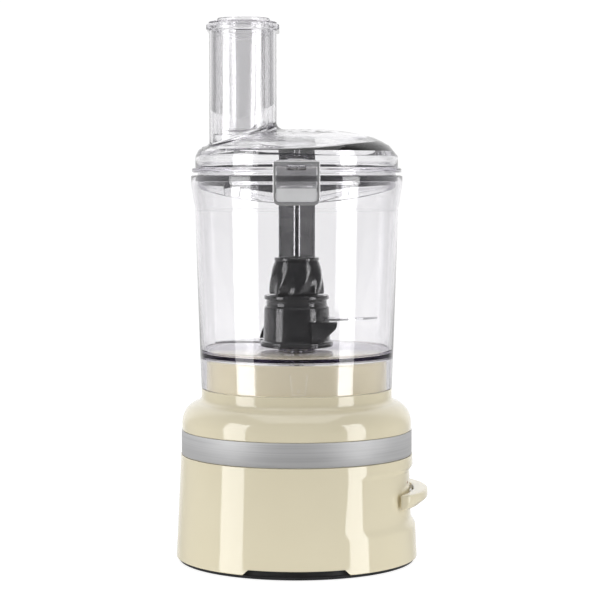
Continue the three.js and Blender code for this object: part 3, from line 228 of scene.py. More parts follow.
def rounded(corners, steps=5):
    """Points of a closed outline whose corners (a, b, radius) are rounded off."""
    points = []
    for i, (a, b, radius) in enumerate(corners):
        here = Vector((a, b))
        before = Vector(corners[i - 1][:2]) - here
        after = Vector(corners[(i + 1) % len(corners)][:2]) - here
        if radius == 0:
            points.append(here)
            continue
        half = before.angle(after) / 2
        reach = min(radius / math.tan(half), 0.48 * before.length, 0.48 * after.length)
        start = here + before.normalized() * reach
        end = here + after.normalized() * reach
        for k in range(steps + 1):
            t = k / steps
            points.append((1 - t) ** 2 * start + 2 * t * (1 - t) * here + t * t * end)
    return points


def turned(profile, steps=192):
    """A closed profile of (radius, height) in millimetres, spun round the drive axis."""
    bm = bmesh.new()
    ring = [bm.verts.new((radius * MM, 0, height * MM)) for radius, height in profile]
    edges = [bm.edges.new((ring[i - 1], ring[i])) for i in range(len(ring))]
    bmesh.ops.spin(
        bm, geom=ring + edges, cent=(0, 0, 0), axis=(0, 0, 1), angle=2 * math.pi, steps=steps,
        use_merge=True
    )
    bmesh.ops.remove_doubles(bm, verts=bm.verts, dist=1e-6)
    bmesh.ops.dissolve_degenerate(bm, dist=1e-7, edges=bm.edges)
    bmesh.ops.recalc_face_normals(bm, faces=bm.faces)
    return bm


def arc(centre, radius, start, end, steps):
    """Points on an arc, angles in degrees."""
    turns = [math.radians(start + (end - start) * k / steps) for k in range(steps + 1)]
    return [(centre[0] + radius * math.cos(t), centre[1] + radius * math.sin(t)) for t in turns]


def put(piece, body, material, slot, *replaced):
    """Gives a piece its material, says what it rides on and hides the CAD nodes that it stands for."""
    piece.data.materials.clear()
    piece.data.materials.append(material)
    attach(piece, body)
    if replaced:
        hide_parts(*replaced)
    return piece


RECESS_SHIFT = 5.6       # how far back the centre of the recess's circle lies
RECESS_RADIUS = 99.6     # at the recess's lower end
RECESS_LOW = 29
RECESS_TAPER = 1.7 / 47  # loss of radius per height


def recess_radius(height):
    """Radius of the set-back front circle at a height."""
    return RECESS_RADIUS - (height - RECESS_LOW) * RECESS_TAPER


def ease(value, low, high):
    """A smooth step from 0 at low to 1 at high."""
    t = min(max((value - low) / (high - low), 0), 1)
    return t * t * (3 - 2 * t)


def on_recess(across, height):
    """How far forward the recess face is at a place on it."""
    return math.sqrt(recess_radius(height) ** 2 - across**2) - RECESS_SHIFT


def plain(points):
    """Outline points that keep their place when corners are rounded off."""
    return [(a, b, 0) for a, b in points]


wall_heights = [4.6, 7.7, 12, 20, 27, *range(29, 39), *range(42, 73, 5),
                *[73 + k * 0.75 for k in range(10)], 84]
lower_wall = [(98.7 - 4 * (z - 3.3) / 83.9, z) for z in wall_heights]
shoulder = arc((75.7, 113.0), 18.0, 2, 74, 16)
neck_hollow = [(79.6, 131.0), (78.6, 131.9), (78.1, 133.1), (77.85, 134.8)]
housing_profile = rounded(
    [(95.7, 3.3, 0.3), (98.7, 3.3, 0.9)]
    + plain(lower_wall)
    + [(94.8, 87.1, 0.5), (92.7, 87.2, 0.3), (92.7, 107.3, 0.3), (93.7, 107.3, 0.5)]
    + plain(shoulder + neck_hollow)
    + [(77.8, 140.6, 0.8), (73.5, 140.6, 0.3), (73.3, 165.1, 2.2), (7.2, 165.1, 0.8)]
    + plain([(7.2, 162.0), (70.2, 162.0), (70.2, 137.6), (74.8, 137.6), (74.8, 127.4)])
    + plain(arc((74.8, 113.0), 14.4, 90, 0, 8))
    + plain([(89.3, 84.0), (91.0, 80.0), (91.0, 30.0), (95.6, 24.0)])
)
NOTCH_TOP, NOTCH_FLAT, NOTCH_HALF, RIM_LOW = 7.7, 38, 42, 3.3  # finger notches at the lower rim
shell = turned(housing_profile, 256)
for vertex in shell.verts:
    x, y, z = (c / MM for c in vertex.co)
    radius = math.hypot(x, y)
    if radius > 92.6 and 28 < z < 80 and x > 0:
        cosine = x / radius
        across = RECESS_SHIFT**2 * (1 - cosine**2)
        set_back = -RECESS_SHIFT * cosine + math.sqrt(recess_radius(z) ** 2 - across)
        depth = max(0, radius - set_back) * ease(z, 29, 37.5) * (1 - ease(z, 74, 79.5))
        scale = (radius - depth) / radius
        vertex.co.x *= scale
        vertex.co.y *= scale
    if z < NOTCH_TOP + 0.1 and radius > 94 and abs(x) < NOTCH_HALF:
        share = min((NOTCH_HALF - abs(x)) / (NOTCH_HALF - NOTCH_FLAT), 1)
        notch = RIM_LOW + (NOTCH_TOP - RIM_LOW) * share
        vertex.co.z = max(vertex.co.z, notch * MM)


def block(low, high, bevel=0.0):
    """A box between two corners in millimetres, its edges rounded."""
    bm = bmesh.new()
    bmesh.ops.create_cube(bm, size=1.0)
    size = Vector(high) - Vector(low)
    bmesh.ops.scale(bm, vec=size * MM, verts=bm.verts)
    bmesh.ops.translate(bm, vec=(Vector(low) + Vector(high)) / 2 * MM, verts=bm.verts)
    if bevel:
        bmesh.ops.bevel(
            bm, geom=bm.edges[:], offset=bevel * MM, segments=3, profile=0.5, affect="EDGES", material=-1
        )
    return bm


def cut_away(piece, *cutters):
    """Cuts one or more bmeshes out of a piece for good."""
    for number, cutter in enumerate(cutters):
        tool = new_object(f"{piece.name}_cutter_{number}", cutter)
        change = piece.modifiers.new("cut", "BOOLEAN")
        change.operation = "DIFFERENCE"
        change.solver = "EXACT"
        change.object = tool
        shown = piece.evaluated_get(bpy.context.evaluated_depsgraph_get())
        mesh = bpy.data.meshes.new_from_object(shown)
        piece.modifiers.clear()
        piece.data = mesh
        bpy.data.objects.remove(tool)
    mesh.set_sharp_from_angle(angle=math.radians(40))


LEVER_Z = 54.0
housing = new_object("housing", shell)
cut_away(
    housing,
    block((70, -13.7, LEVER_Z - 10.5), (110, 13.7, LEVER_Z + 10.5)),
    block((-110, -9, 13), (-80, 9, 31), 1.0),
    block((-3.4, 87.2, 116), (3.4, 94.0, 140), 1.6),
)
put(housing, "base", cream, "cream_enamel", "base_housing")


# ---- Metal band ----
# A strip of stainless steel let into the groove, brushed round its length so that the grain runs level.
band_steel, tree, shader, where = new_material("brushed_band_steel")
shader.inputs["Metallic"].default_value = 0.55
shader.inputs["Anisotropic"].default_value = 0.6
grain = mapped_noise(tree, where, (6, 6, 900), 1.0, 6.0)
tint(tree, grain, shader, (0.60, 0.60, 0.605), (0.70, 0.70, 0.705))
vary(tree, grain, shader.inputs["Roughness"], 0.46, 0.56)
roughen(tree, grain, shader, 0.00003, 0.2)
band_low, band_high = (corner.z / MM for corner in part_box("trim_band"))
band_outline = [(92.95, band_low, 0.2), (94.1, band_low, 0.35), (94.1, band_high, 0.35),
                (92.95, band_high, 0.2)]
band = new_object("metal_band", turned(rounded(band_outline, 3), 256))
put(band, "base", band_steel, "brushed_band", "trim_band")

# ---- Base plate and feet ----
# The underside is closed by a black moulded plate on four rubber pads; its rim is seen in the finger notch.
black, tree, shader, where = new_material("black_moulding")
tint(tree, mapped_noise(tree, where, (1, 1, 1), 60.0), shader, (0.018, 0.018, 0.020), (0.030, 0.030, 0.033))
vary(tree, mapped_noise(tree, where, (1, 1, 1), 300.0), shader.inputs["Roughness"], 0.42, 0.6)
roughen(tree, mapped_noise(tree, where, (1, 1, 1), 1400.0), shader, 0.0001, 0.5)
plate_outline = [(0.0, 0.6, 0), (96.2, 0.6, 0.6), (97.2, 3.0, 0.4), (94.4, 3.0, 0.2), (94.0, 8.6, 0.5),
                 (91.0, 8.6, 0.5),
                 (91.0, 5.0, 0.5), (0.0, 5.0, 0)]
underside = new_object("base_plate_moulding", turned(rounded(plate_outline, 3), 192))
put(underside, "base", black, "black_plastic", "base_plate")
rubber, tree, shader, where = new_material("foot_rubber_matt")
tint(tree, mapped_noise(tree, where, (1, 1, 1), 90.0), shader, (0.020, 0.020, 0.020), (0.034, 0.034, 0.034))
shader.inputs["Roughness"].default_value = 0.8
roughen(tree, mapped_noise(tree, where, (1, 1, 1), 700.0), shader, 0.0001, 0.4)
for number in range(1, 5):
    low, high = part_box(f"foot_{number}")
    middle = (low + high) / 2
    pad = turned(rounded([(0, 0, 0), (9.0, 0, 0.8), (9.0, 2.5, 0.2), (0, 2.5, 0)], 3), 40)
    bmesh.ops.translate(pad, vec=(middle.x, middle.y, 0), verts=pad.verts)
    put(new_object(f"rubber_pad_{number}", pad), "base", rubber, "foot_rubber", f"foot_{number}")

# ---- Screws ----
# Pan-head steel screws from below; each head has a cross recess. The chassis screws inside stay as they are.
steel, tree, shader, where = new_material("bright_stainless")
shader.inputs["Metallic"].default_value = 1.0
grain = mapped_noise(tree, where, (1, 1, 1), 220.0, 5.0)
tint(tree, grain, shader, (0.52, 0.52, 0.53), (0.64, 0.64, 0.65))
vary(tree, grain, shader.inputs["Roughness"], 0.2, 0.34)
for number in range(1, 5):
    low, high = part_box(f"base_screw_{number}")
    middle = (low + high) / 2
    top = high.z / MM
    screw = turned(
        rounded([(0, 0.8, 0), (3.4, 0.8, 0.8), (4.0, 3.2, 0.2), (2.0, 3.2, 0.2), (2.0, top, 0.5),
                 (0, top, 0)], 3), 32
    )
    bmesh.ops.translate(screw, vec=(middle.x, middle.y, 0), verts=screw.verts)
    made = new_object(f"base_screw_head_{number}", screw)
    x, y = middle.x / MM, middle.y / MM
    for half_x, half_y in ((2.2, 0.45), (0.45, 2.2)):
        cut_away(made, block((x - half_x, y - half_y, 0), (x + half_x, y + half_y, 1.9)))
    put(made, "base", steel, "bright_steel", f"base_screw_{number}")

# ---- Front panel and its lamp ----
# A cream insert in the set-back front, with the slot that the lever's arm comes through and a small lamp.
PANEL_LOW, PANEL_HIGH, PANEL_HALF, PANEL_INSET = 40.0, 71.0, 50.0, 0.35
panel_mesh = bmesh.new()
bmesh.ops.create_grid(panel_mesh, x_segments=96, y_segments=24, size=0.5)
for vertex in panel_mesh.verts:
    across = vertex.co.x * 2 * PANEL_HALF
    height = PANEL_LOW + (vertex.co.y + 0.5) * (PANEL_HIGH - PANEL_LOW)
    ahead = on_recess(across, height)
    vertex.co = Vector((ahead - PANEL_INSET, across, height)) * MM
bmesh.ops.recalc_face_normals(panel_mesh, faces=panel_mesh.faces)
bmesh.ops.solidify(panel_mesh, geom=panel_mesh.faces[:], thickness=1.4 * MM)
bmesh.ops.recalc_face_normals(panel_mesh, faces=panel_mesh.faces)
panel = new_object("front_panel", panel_mesh)
lamp_low, lamp_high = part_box("indicator_lens")
lamp_y, lamp_z = ((lamp_low.y + lamp_high.y) / 2 / MM, (lamp_low.z + lamp_high.z) / 2 / MM)
cut_away(
    panel,
    block((70, -12.7, LEVER_Z - 9.5), (110, 12.7, LEVER_Z + 9.5)),
    block((70, lamp_y - 1.6, lamp_z - 1.6), (110, lamp_y + 1.6, lamp_z + 1.6), 1.3),
)
put(panel, "base", cream, "cream_enamel", "control_panel")
lamp_glass, tree, shader, where = new_material("lamp_amber")
tint(tree, mapped_noise(tree, where, (1, 1, 1), 400.0), shader, (0.33, 0.20, 0.14), (0.42, 0.27, 0.19))
shader.inputs["Roughness"].default_value = 0.25
lamp_mesh = bmesh.new()
bmesh.ops.create_uvsphere(lamp_mesh, u_segments=32, v_segments=16, radius=1.4 * MM)
lamp_ahead = on_recess(lamp_y, lamp_z) - PANEL_INSET - 0.6
bmesh.ops.translate(lamp_mesh, vec=Vector((lamp_ahead, lamp_y, lamp_z)) * MM, verts=lamp_mesh.verts)
put(new_object("panel_lamp", lamp_mesh), "base", lamp_glass, "satin_grey", "indicator_lens")

# ---- Paddle lever ----
# A half-moon paddle moulded in one with its arm; flat on top, thinner at the tip, every edge rounded.
PADDLE_RADIUS, PADDLE_TIP = 80.0, 107.4
PADDLE_TOP, PADDLE_ROOT_LOW, PADDLE_TIP_LOW = 59.5, 47.5, 52.4


def loft(loops):
    """A skin over a row of loops (millimetres) that all have the same number of points."""
    bm = bmesh.new()
    ring = [bm.verts.new(Vector(point) * MM) for point in loops[0]]
    edges = [bm.edges.new((ring[i - 1], ring[i])) for i in range(len(ring))]
    for loop in loops[1:]:
        made = bmesh.ops.extrude_edge_only(bm, edges=edges)["geom"]
        fresh = {item for item in made if isinstance(item, bmesh.types.BMVert)}
        ring = [next(e.other_vert(v) for e in v.link_edges if e.other_vert(v) in fresh) for v in ring]
        for vertex, point in zip(ring, loop):
            vertex.co = Vector(point) * MM
        edges = [e for e in made if isinstance(e, bmesh.types.BMEdge) and all(v in fresh for v in e.verts)]
    return bm


def close_loft(bm, capped):
    """Welds a loft that returns to its first loop, or fills both its ends."""
    bmesh.ops.remove_doubles(bm, verts=bm.verts, dist=1e-6)
    if capped:
        bmesh.ops.holes_fill(bm, edges=[e for e in bm.edges if e.is_boundary], sides=0)
    bmesh.ops.dissolve_degenerate(bm, dist=1e-7, edges=bm.edges)
    bmesh.ops.recalc_face_normals(bm, faces=bm.faces)
    return bm


def paddle_section(across, shrink):
    """The paddle's side outline at a distance from its middle, drawn in by shrink all round."""
    tip = PADDLE_TIP - PADDLE_RADIUS + math.sqrt(PADDLE_RADIUS**2 - across**2) - shrink
    root = on_recess(across, LEVER_Z) + 2.6 + shrink
    low, top = PADDLE_ROOT_LOW + shrink, PADDLE_TOP - shrink
    corners = [(root, low, 2.2), (root + 5, low, 4), (tip, PADDLE_TIP_LOW + shrink, 2.6), (tip, top, 2.0),
               (root, top, 1.2)]
    return [(x, across, z) for x, z in rounded(corners, 6)]


ends = [(50.0, 1.6), (49.8, 0.9), (49.3, 0.35), (48.4, 0.0)]
stations = [(-a, b) for a, b in ends] + [(y, 0.0) for y in range(-47, 48, 2)] + ends[::-1]
paddle = close_loft(loft([paddle_section(*station) for station in stations]), True)
lever = new_object("lever_paddle", paddle, 50)
put(lever, "lever", cream, "cream_enamel", "paddle_lever")
arm = new_object("lever_arm", block((66, -12, 51), (95.2, 12, 57), 1.2))
put(arm, "lever", cream, "cream_enamel")

# ---- Bowl ----
# A tub of clear, slightly smoky plastic with a skirt that stands over the raised centre of the base, a
# floor, a hollow chimney for the drive spindle and a rolled lip. It is moulded in one piece.


def clear_plastic(name, colour, density, rough):
    """Clear plastic with a slight tint through its thickness; lamps shine through it."""
    material, tree, shader, where = new_material(name)
    shader.inputs["Base Color"].default_value = (1, 1, 1, 1)
    shader.inputs["Transmission Weight"].default_value = 1.0
    shader.inputs["IOR"].default_value = 1.52
    vary(tree, mapped_noise(tree, where, (1, 1, 1), 40.0), shader.inputs["Roughness"], rough, rough + 0.02)
    smoke = add_node(tree, "ShaderNodeVolumeAbsorption", Color=colour, Density=density)
    tree.links.new(smoke.outputs["Volume"], tree.nodes["Material Output"].inputs["Volume"])
    through = add_node(tree, "ShaderNodeBsdfTransparent", Color=(1.0, 1.0, 1.0, 1))
    choice = tree.nodes.new("ShaderNodeMixShader")
    tree.links.new(tree.nodes.new("ShaderNodeLightPath").outputs["Is Shadow Ray"], choice.inputs["Fac"])
    tree.links.new(shader.outputs["BSDF"], choice.inputs[1])
    tree.links.new(through.outputs["BSDF"], choice.inputs[2])
    tree.links.new(choice.outputs["Shader"], tree.nodes["Material Output"].inputs["Surface"])
    return material


bowl_plastic = clear_plastic("clear_bowl_plastic", (0.80, 0.785, 0.82, 1), 110.0, 0.0)
bowl_outline = [
    (75.2, 140.9, 0.6), (77.8, 140.9, 0.9), (79.0, 170.0, 0), (82.7, 285.5, 12), (84.4, 297.0, 6),
    (86.0, 306.7, 5),
    (86.0, 313.7, 1.1), (83.4, 313.7, 0.8), (83.4, 306.9, 5), (81.8, 297.6, 6), (80.1, 286.0, 12),
    (76.3, 170.1, 3.5),
    (13.5, 170.1, 2.0), (13.5, 201.1, 1.2), (10.5, 201.1, 0.8), (10.5, 167.4, 0.8), (75.8, 167.4, 2.0),
]
tub = new_object("clear_tub", turned(rounded(bowl_outline, 5), 224), 60)
put(tub, "bowl", bowl_plastic, "clear_plastic", "bowl")

# ---- Key channel on the skirt ----
# Two ribs that run together downward, the stop pin between them and the bar under it, all moulded with the
# skirt; a fine matt grain on the mould makes them milky.
rib_plastic = clear_plastic("frosted_rib_plastic", (0.80, 0.80, 0.82, 1), 10.0, 0.2)
RIB_FOOT, RIB_TOP, RIB_HALF, SKIRT_DRAFT = 142.0, 159.0, 0.65, 0.028
for name, middle, lean in (("left_key_rib", -5.0, 1.9), ("right_key_rib", 8.4, -1.7)):
    bar = block((middle - RIB_HALF, -79.0, RIB_FOOT), (middle + RIB_HALF, -76.6, RIB_TOP), 0.5)
    for vertex in bar.verts:
        down = RIB_TOP - vertex.co.z / MM
        vertex.co.x += lean * down / (RIB_TOP - RIB_FOOT) * MM
        vertex.co.y += SKIRT_DRAFT * down * MM
    put(new_object(name, bar), "bowl", rib_plastic, "clear_plastic")
put(new_object("key_bar", block((-2.4, -78.7, 141.6), (6.0, -76.4, 143.2), 0.5)), "bowl", rib_plastic,
    "clear_plastic")
stop = bmesh.new()
bmesh.ops.create_cone(stop, cap_ends=True, segments=32, radius1=1.5 * MM, radius2=1.5 * MM, depth=2.4 * MM)
bmesh.ops.rotate(stop, verts=stop.verts, cent=(0, 0, 0), matrix=Matrix.Rotation(math.radians(90), 3, "X"))
bmesh.ops.translate(stop, vec=Vector((1.6, -77.6, 145.6)) * MM, verts=stop.verts)
bmesh.ops.bevel(stop, geom=stop.edges[:], offset=0.3 * MM, segments=2, profile=0.5, affect="EDGES",
                material=-1)
put(new_object("key_stop", stop), "bowl", rib_plastic, "clear_plastic")

# ---- Latch catch ----
# The small wedge moulded under the lip; the latch's lower bar snaps under it.
catch_low, catch_high = (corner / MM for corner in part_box("latch_catch"))
catch = block(tuple(catch_low), tuple(catch_high), 0.5)
for vertex in catch.verts:
    if vertex.co.z < (catch_low.z + 2.5) * MM and vertex.co.y < (catch_low.y + 1.6) * MM:
        vertex.co.y = (catch_high.y - 0.8) * MM
put(new_object("catch_wedge", catch), "bowl", bowl_plastic, "clear_plastic", "latch_catch")

# ---- Handle ----
# A flat loop of the same clear plastic at the back of the bowl, with a seat for the dark filling in its
# sides, a pocket for the lid's hinge arm and a bore for the rod that reports the closed lid to the base.
handle_plastic = clear_plastic("clear_handle_plastic", (0.80, 0.785, 0.82, 1), 30.0, 0.01)
HANDLE_HALF, HANDLE_Y, HANDLE_OUT, HANDLE_TOP, HANDLE_FOOT = 16.0, 86.7, 136.0, 343.1, 133.6


def plate(facing, points, low, high, bevel):
    """An outline (a, b, radius) drawn out along X or Y, edges eased; a is the other level axis, b is up."""
    bm = bmesh.new()
    axis = "XY".index(facing)
    places = [(a, low, b) if axis else (low, a, b) for a, b in rounded(points, 6)]
    bmesh.ops.contextual_create(bm, geom=[bm.verts.new(Vector(place) * MM) for place in places])
    made = bmesh.ops.extrude_face_region(bm, geom=bm.faces[:])["geom"]
    moved = [item for item in made if isinstance(item, bmesh.types.BMVert)]
    run = (high - low) * MM
    bmesh.ops.translate(bm, vec=(0, run, 0) if axis else (run, 0, 0), verts=moved)
    bmesh.ops.recalc_face_normals(bm, faces=bm.faces)
    rims = [edge for edge in bm.edges if abs(edge.verts[0].co[axis] - edge.verts[1].co[axis]) < 1e-6]
    bmesh.ops.bevel(
        bm, geom=rims, offset=bevel * MM, segments=3, profile=0.5, affect="EDGES", material=-1,
        clamp_overlap=True
    )
    return bm


outside = [
    (HANDLE_Y, 296.9, 2), (HANDLE_Y, 337.4, 5), (HANDLE_Y + 6, HANDLE_TOP, 5),
    (HANDLE_OUT - 12, HANDLE_TOP, 14),
    (HANDLE_OUT, HANDLE_TOP - 24, 18), (HANDLE_OUT, HANDLE_TOP - 62, 60), (HANDLE_OUT - 8, 182, 40),
    (HANDLE_OUT - 24, HANDLE_FOOT + 4, 14), (HANDLE_Y + 10, HANDLE_FOOT, 5), (80.6, HANDLE_FOOT + 8, 4),
    (80.0, 168, 3),
    (84.0, 285, 6),
]
hole = [
    (96.4, 308, 8), (HANDLE_OUT - 25, 312, 9), (HANDLE_OUT - 25, 280, 40), (HANDLE_OUT - 33, 186, 12),
    (89.6, 166, 5),
    (93.0, 285, 30),
]
loop = new_object("clear_handle", plate("X", outside, -HANDLE_HALF, HANDLE_HALF, 3.0), 35)
finger = plate("X", hole, -HANDLE_HALF - 4, HANDLE_HALF + 4, 0.4)
grip = [
    (112.0, 338.2, 2), (112.0, 299.6, 4), (115.0, 283.7, 20), (112.0, 202.0, 20), (111.0, 176.1, 2),
    (124.0, 176.1, 4),
    (HANDLE_OUT - 9, 183, 40), (HANDLE_OUT - 0.8, HANDLE_TOP - 62, 60),
    (HANDLE_OUT - 0.8, HANDLE_TOP - 24, 18),
    (HANDLE_OUT - 8, 338.2, 6),
]
seat = plate("X", grip, -13.9, 13.9, 1.0)
low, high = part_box("interlock_rod")
pocket = block((-9.9, 80, 320.2), (9.9, 104.8, 350), 0.4)
rod_x, rod_y = (low.x + high.x) / 2 / MM, (low.y + high.y) / 2 / MM
ROD_ROOM = 2.6
bore = block((rod_x - ROD_ROOM, rod_y - ROD_ROOM, 120), (rod_x + ROD_ROOM, rod_y + ROD_ROOM, 325), 1.2)
cut_away(loop, finger, pocket, bore, seat)
put(loop, "bowl", handle_plastic, "clear_plastic", "bowl_handle")

# ---- Handle filling ----
# A dark moulding pressed into the grip from the sides; it is what gives the grip its colour.
dark, tree, shader, where = new_material("dark_moulding")
tint(tree, mapped_noise(tree, where, (1, 1, 1), 50.0), shader, (0.008, 0.008, 0.009), (0.013, 0.013, 0.014))
vary(tree, mapped_noise(tree, where, (1, 1, 1), 260.0), shader.inputs["Roughness"], 0.10, 0.2)
shader.inputs["Coat Weight"].default_value = 0.5
shader.inputs["Coat Roughness"].default_value = 0.06
filling = new_object("handle_filling", plate("X", grip, -13.6, 13.6, 1.4), 35)
cut_away(filling, plate("X", hole, -HANDLE_HALF - 4, HANDLE_HALF + 4, 0.4))
put(filling, "bowl", dark, "dark_plastic", "handle_insert")

# ---- Hinge pin and interlock rod ----
# A turned steel pin crosses the handle's pocket. The rod under it is pushed down by the closed lid.


def dress(material, *nodes):
    """A better material for CAD nodes whose shape stays as it is."""
    for node in nodes:
        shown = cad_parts[node]
        shown.data.materials.clear()
        shown.data.materials.append(material)


dress(steel, "hinge_pin")
dress(dark, "interlock_rod")

# ---- Blade hub ----
# A black moulding that drops over the chimney: a flange at the foot, a stepped drum, a collar and two webs
# that carry the knives. It is lifted out by the twisted grip on top.
hub_outline = [
    (15.0, 173.1, 0.4), (29.8, 173.1, 0.8), (29.8, 177.1, 0.8), (27.3, 178.2, 1.0), (27.0, 190.0, 0),
    (26.6, 205.4, 1.5),
    (24.8, 207.0, 0.8), (24.8, 211.4, 0.6), (26.4, 212.2, 0.5), (26.4, 215.4, 0.9), (10.0, 216.0, 0.6),
    (10.0, 226.0, 1.0),
    (0.0, 226.1, 0), (0.0, 223.2, 0), (6.4, 223.2, 0.4), (6.4, 203.2, 0.4), (15.0, 203.2, 0.4),
]
hub = new_object("hub_moulding", turned(rounded(hub_outline, 4), 128), 40)
put(hub, "blade", dark, "dark_plastic", "blade_hub")
upper_outline = [(12, 178.5, 1), (20, 178.5, 6), (32, 190.0, 7), (32.6, 194.8, 0.4), (12, 194.8, 1)]
lower_outline = [(10, 177.7, 0.4), (31, 177.7, 0.6), (29, 184, 4), (22, 199, 6), (10, 201, 2)]
webs = (("upper_web", upper_outline, -27.6, -17, 0), ("lower_web", lower_outline, -27.2, -16, 180))
for name, outline, outer, inner, turn in webs:
    web = plate("Y", outline, outer, inner, 1.3)
    bmesh.ops.rotate(web, verts=web.verts, cent=(0, 0, 0),
                     matrix=Matrix.Rotation(math.radians(turn), 3, "Z"))
    put(new_object(name, web, 35), "blade", dark, "dark_plastic")

# ---- Hub grip ----
# A knob with a thin cap, a plain belly and eight faces that twist toward the collar.


def grip_loop(radius, height, depth, twist):
    """One level of the grip; depth says how far the eight faces are cut into the round."""
    points = []
    for k in range(160):
        turn = 2 * math.pi * k / 160
        face = (4 * (turn - twist) / math.pi) % 1.0
        dip = depth * math.cos(math.pi * (face - 0.5)) ** 2
        points.append(((radius - dip) * math.cos(turn), (radius - dip) * math.sin(turn), height))
    return points


GRIP_LOW, GRIP_HIGH, BELLY_RISE, BELLY_STEPS = 216.5, 246.6, 25.5, 14
grip_levels = [(10.4, GRIP_LOW, 0.0, 0.0), (21.8, GRIP_LOW, 2.4, 0.0), (22.4, GRIP_LOW + 0.8, 2.6, 0.02)]
for step in range(1, BELLY_STEPS + 1):
    share = step / BELLY_STEPS
    height = GRIP_LOW + 0.8 + share * BELLY_RISE
    radius = 22.4 - 4.1 * share + 1.4 * math.sin(math.pi * share)
    grip_levels.append((radius, height, 2.8 * max(0.0, 1 - share * 1.3), 0.6 * share))
grip_levels += [(17.6, 243.2, 0, 0.5), (17.9, 243.7, 0, 0.5), (18.3, 244.2, 0, 0.5), (18.3, 245.9, 0, 0.5),
                (17.8, GRIP_HIGH, 0, 0.5), (13.5, GRIP_HIGH, 0, 0.5), (12.8, GRIP_HIGH - 0.7, 0, 0.5)]
grip_levels += [(12.0, 230.0, 0, 0.5), (10.4, 227.0, 0, 0.5)]
knob = loft([grip_loop(*level) for level in grip_levels] + [grip_loop(*grip_levels[0])])
put(new_object("twisted_grip", close_loft(knob, False), 32), "blade", dark, "dark_plastic", "hub_grip")

# ---- Knives ----
# Two ground and polished knives of thin stainless sheet, moulded into the hub one above the other.
knife_steel, tree, shader, where = new_material("knife_steel")
shader.inputs["Metallic"].default_value = 1.0
grain = mapped_noise(tree, where, (8, 300, 8), 1.0, 5.0)
tint(tree, grain, shader, (0.46, 0.46, 0.48), (0.60, 0.60, 0.61))
vary(tree, grain, shader.inputs["Roughness"], 0.14, 0.26)
roughen(tree, grain, shader, 0.00003, 0.3)
dress(knife_steel, "lower_blade", "upper_blade")

# ---- Lid ----
# One clear moulding: a flange that rests over the bowl's lip, a skirt inside it, a domed top and the tall
# oval feed tube toward the back of the machine, joined to the dome with a generous fillet.
lid_plastic = clear_plastic("clear_lid_plastic", (0.80, 0.79, 0.82, 1), 90.0, 0.0)
TUBE_X, TUBE_HALF_X, TUBE_HALF_Y, LID_FILLET = -43.1, 26.9, 46.0, 6.0
DOME = [(0, 351.3), (26.7, 350.7), (42.2, 349.0), (58.5, 345.8), (67.5, 342.5), (75.6, 337.6),
        (79.7, 334.4), (82.1, 329.5),
        (82.5, 328.0)]
SKIRT_RADIUS = 80.6
TURNS = [2 * math.pi * k / 192 for k in range(192)]


def dome_height(radius):
    """Height of the dome's outside at a distance from the drive axis."""
    for (near, high), (far, low) in zip(DOME, DOME[1:]):
        if radius <= far:
            return high + (low - high) * (radius - near) / (far - near)
    return DOME[-1][1]


def oval(grow, turn):
    """Where a ray from the tube's middle meets the tube's outline, grown by a distance."""
    half_x, half_y = TUBE_HALF_X + grow, TUBE_HALF_Y + grow
    side, rise = abs(math.cos(turn)), abs(math.sin(turn))
    straight = half_y - half_x
    if side * straight > half_x * rise or rise * half_x <= straight * side:
        reach = half_x / side
    else:
        reach = straight * rise + math.sqrt(half_x**2 - (straight * side) ** 2)
    return Vector((TUBE_X + reach * math.cos(turn), reach * math.sin(turn)))


def round_lid(radius, turn):
    """Where the same ray meets a circle round the drive axis."""
    along = TUBE_X * math.cos(turn)
    reach = -along + math.sqrt(along**2 - TUBE_X**2 + radius**2)
    return Vector((TUBE_X + reach * math.cos(turn), reach * math.sin(turn)))


def oval_loop(grow, height):
    """A level loop on the tube."""
    return [(*oval(grow, turn), height) for turn in TURNS]


def lid_ring(radius, height):
    """A level loop round the drive axis."""
    return [(*round_lid(radius, turn), height) for turn in TURNS]


def over_dome(share, grow, edge, drop):
    """A loop between the tube's grown outline and a circle, at the dome's height less a wall."""
    loop = []
    for turn in TURNS:
        place = oval(grow, turn).lerp(round_lid(edge, turn), share)
        loop.append((*place, dome_height(place.length) - drop))
    return loop


def fillet_loop(angle):
    """A loop on the fillet from the tube's wall to the dome."""
    loop = []
    for turn in TURNS:
        foot = oval(LID_FILLET, turn)
        place = oval(LID_FILLET * (1 - math.cos(angle)), turn)
        loop.append((*place, dome_height(foot.length) + LID_FILLET * (1 - math.sin(angle))))
    return loop


def skirt_loop(inset, lift):
    """The skirt's lower edge, which dips under the latch and at the handle."""
    loop = []
    for turn in TURNS:
        place = round_lid(SKIRT_RADIUS, turn)
        around = math.atan2(place.y, place.x)
        low = 298.0 + 6.0 * math.cos(2 * around)
        radius = SKIRT_RADIUS - 0.43 * max(0.0, 297.1 - low) - inset
        loop.append((*round_lid(radius, turn), low + lift))
    return loop


TUBE_TOP, WALL = 434.4, 2.4
lid_loops = [oval_loop(-WALL, TUBE_TOP - 0.6), oval_loop(-WALL + 0.6, TUBE_TOP), oval_loop(1.4, TUBE_TOP)]
lid_loops += [oval_loop(2.1, TUBE_TOP - 0.4), oval_loop(2.4, TUBE_TOP - 1.2),
              oval_loop(2.4, TUBE_TOP - 3.8)]
lid_loops += [oval_loop(2.0, TUBE_TOP - 4.5), oval_loop(0.7, TUBE_TOP - 4.8), oval_loop(0, TUBE_TOP - 5.5)]
lid_loops += [oval_loop(0, TUBE_TOP - 30), oval_loop(0, TUBE_TOP - 55)]
lid_loops += [fillet_loop(math.radians(15 * k)) for k in range(7)]
lid_loops += [over_dome(share / 14, LID_FILLET, 82.1, 0) for share in range(1, 15)]
lid_loops += [lid_ring(82.5, 328.0), lid_ring(82.5, 321.0), lid_ring(82.7, 320.2), lid_ring(83.5, 319.7)]
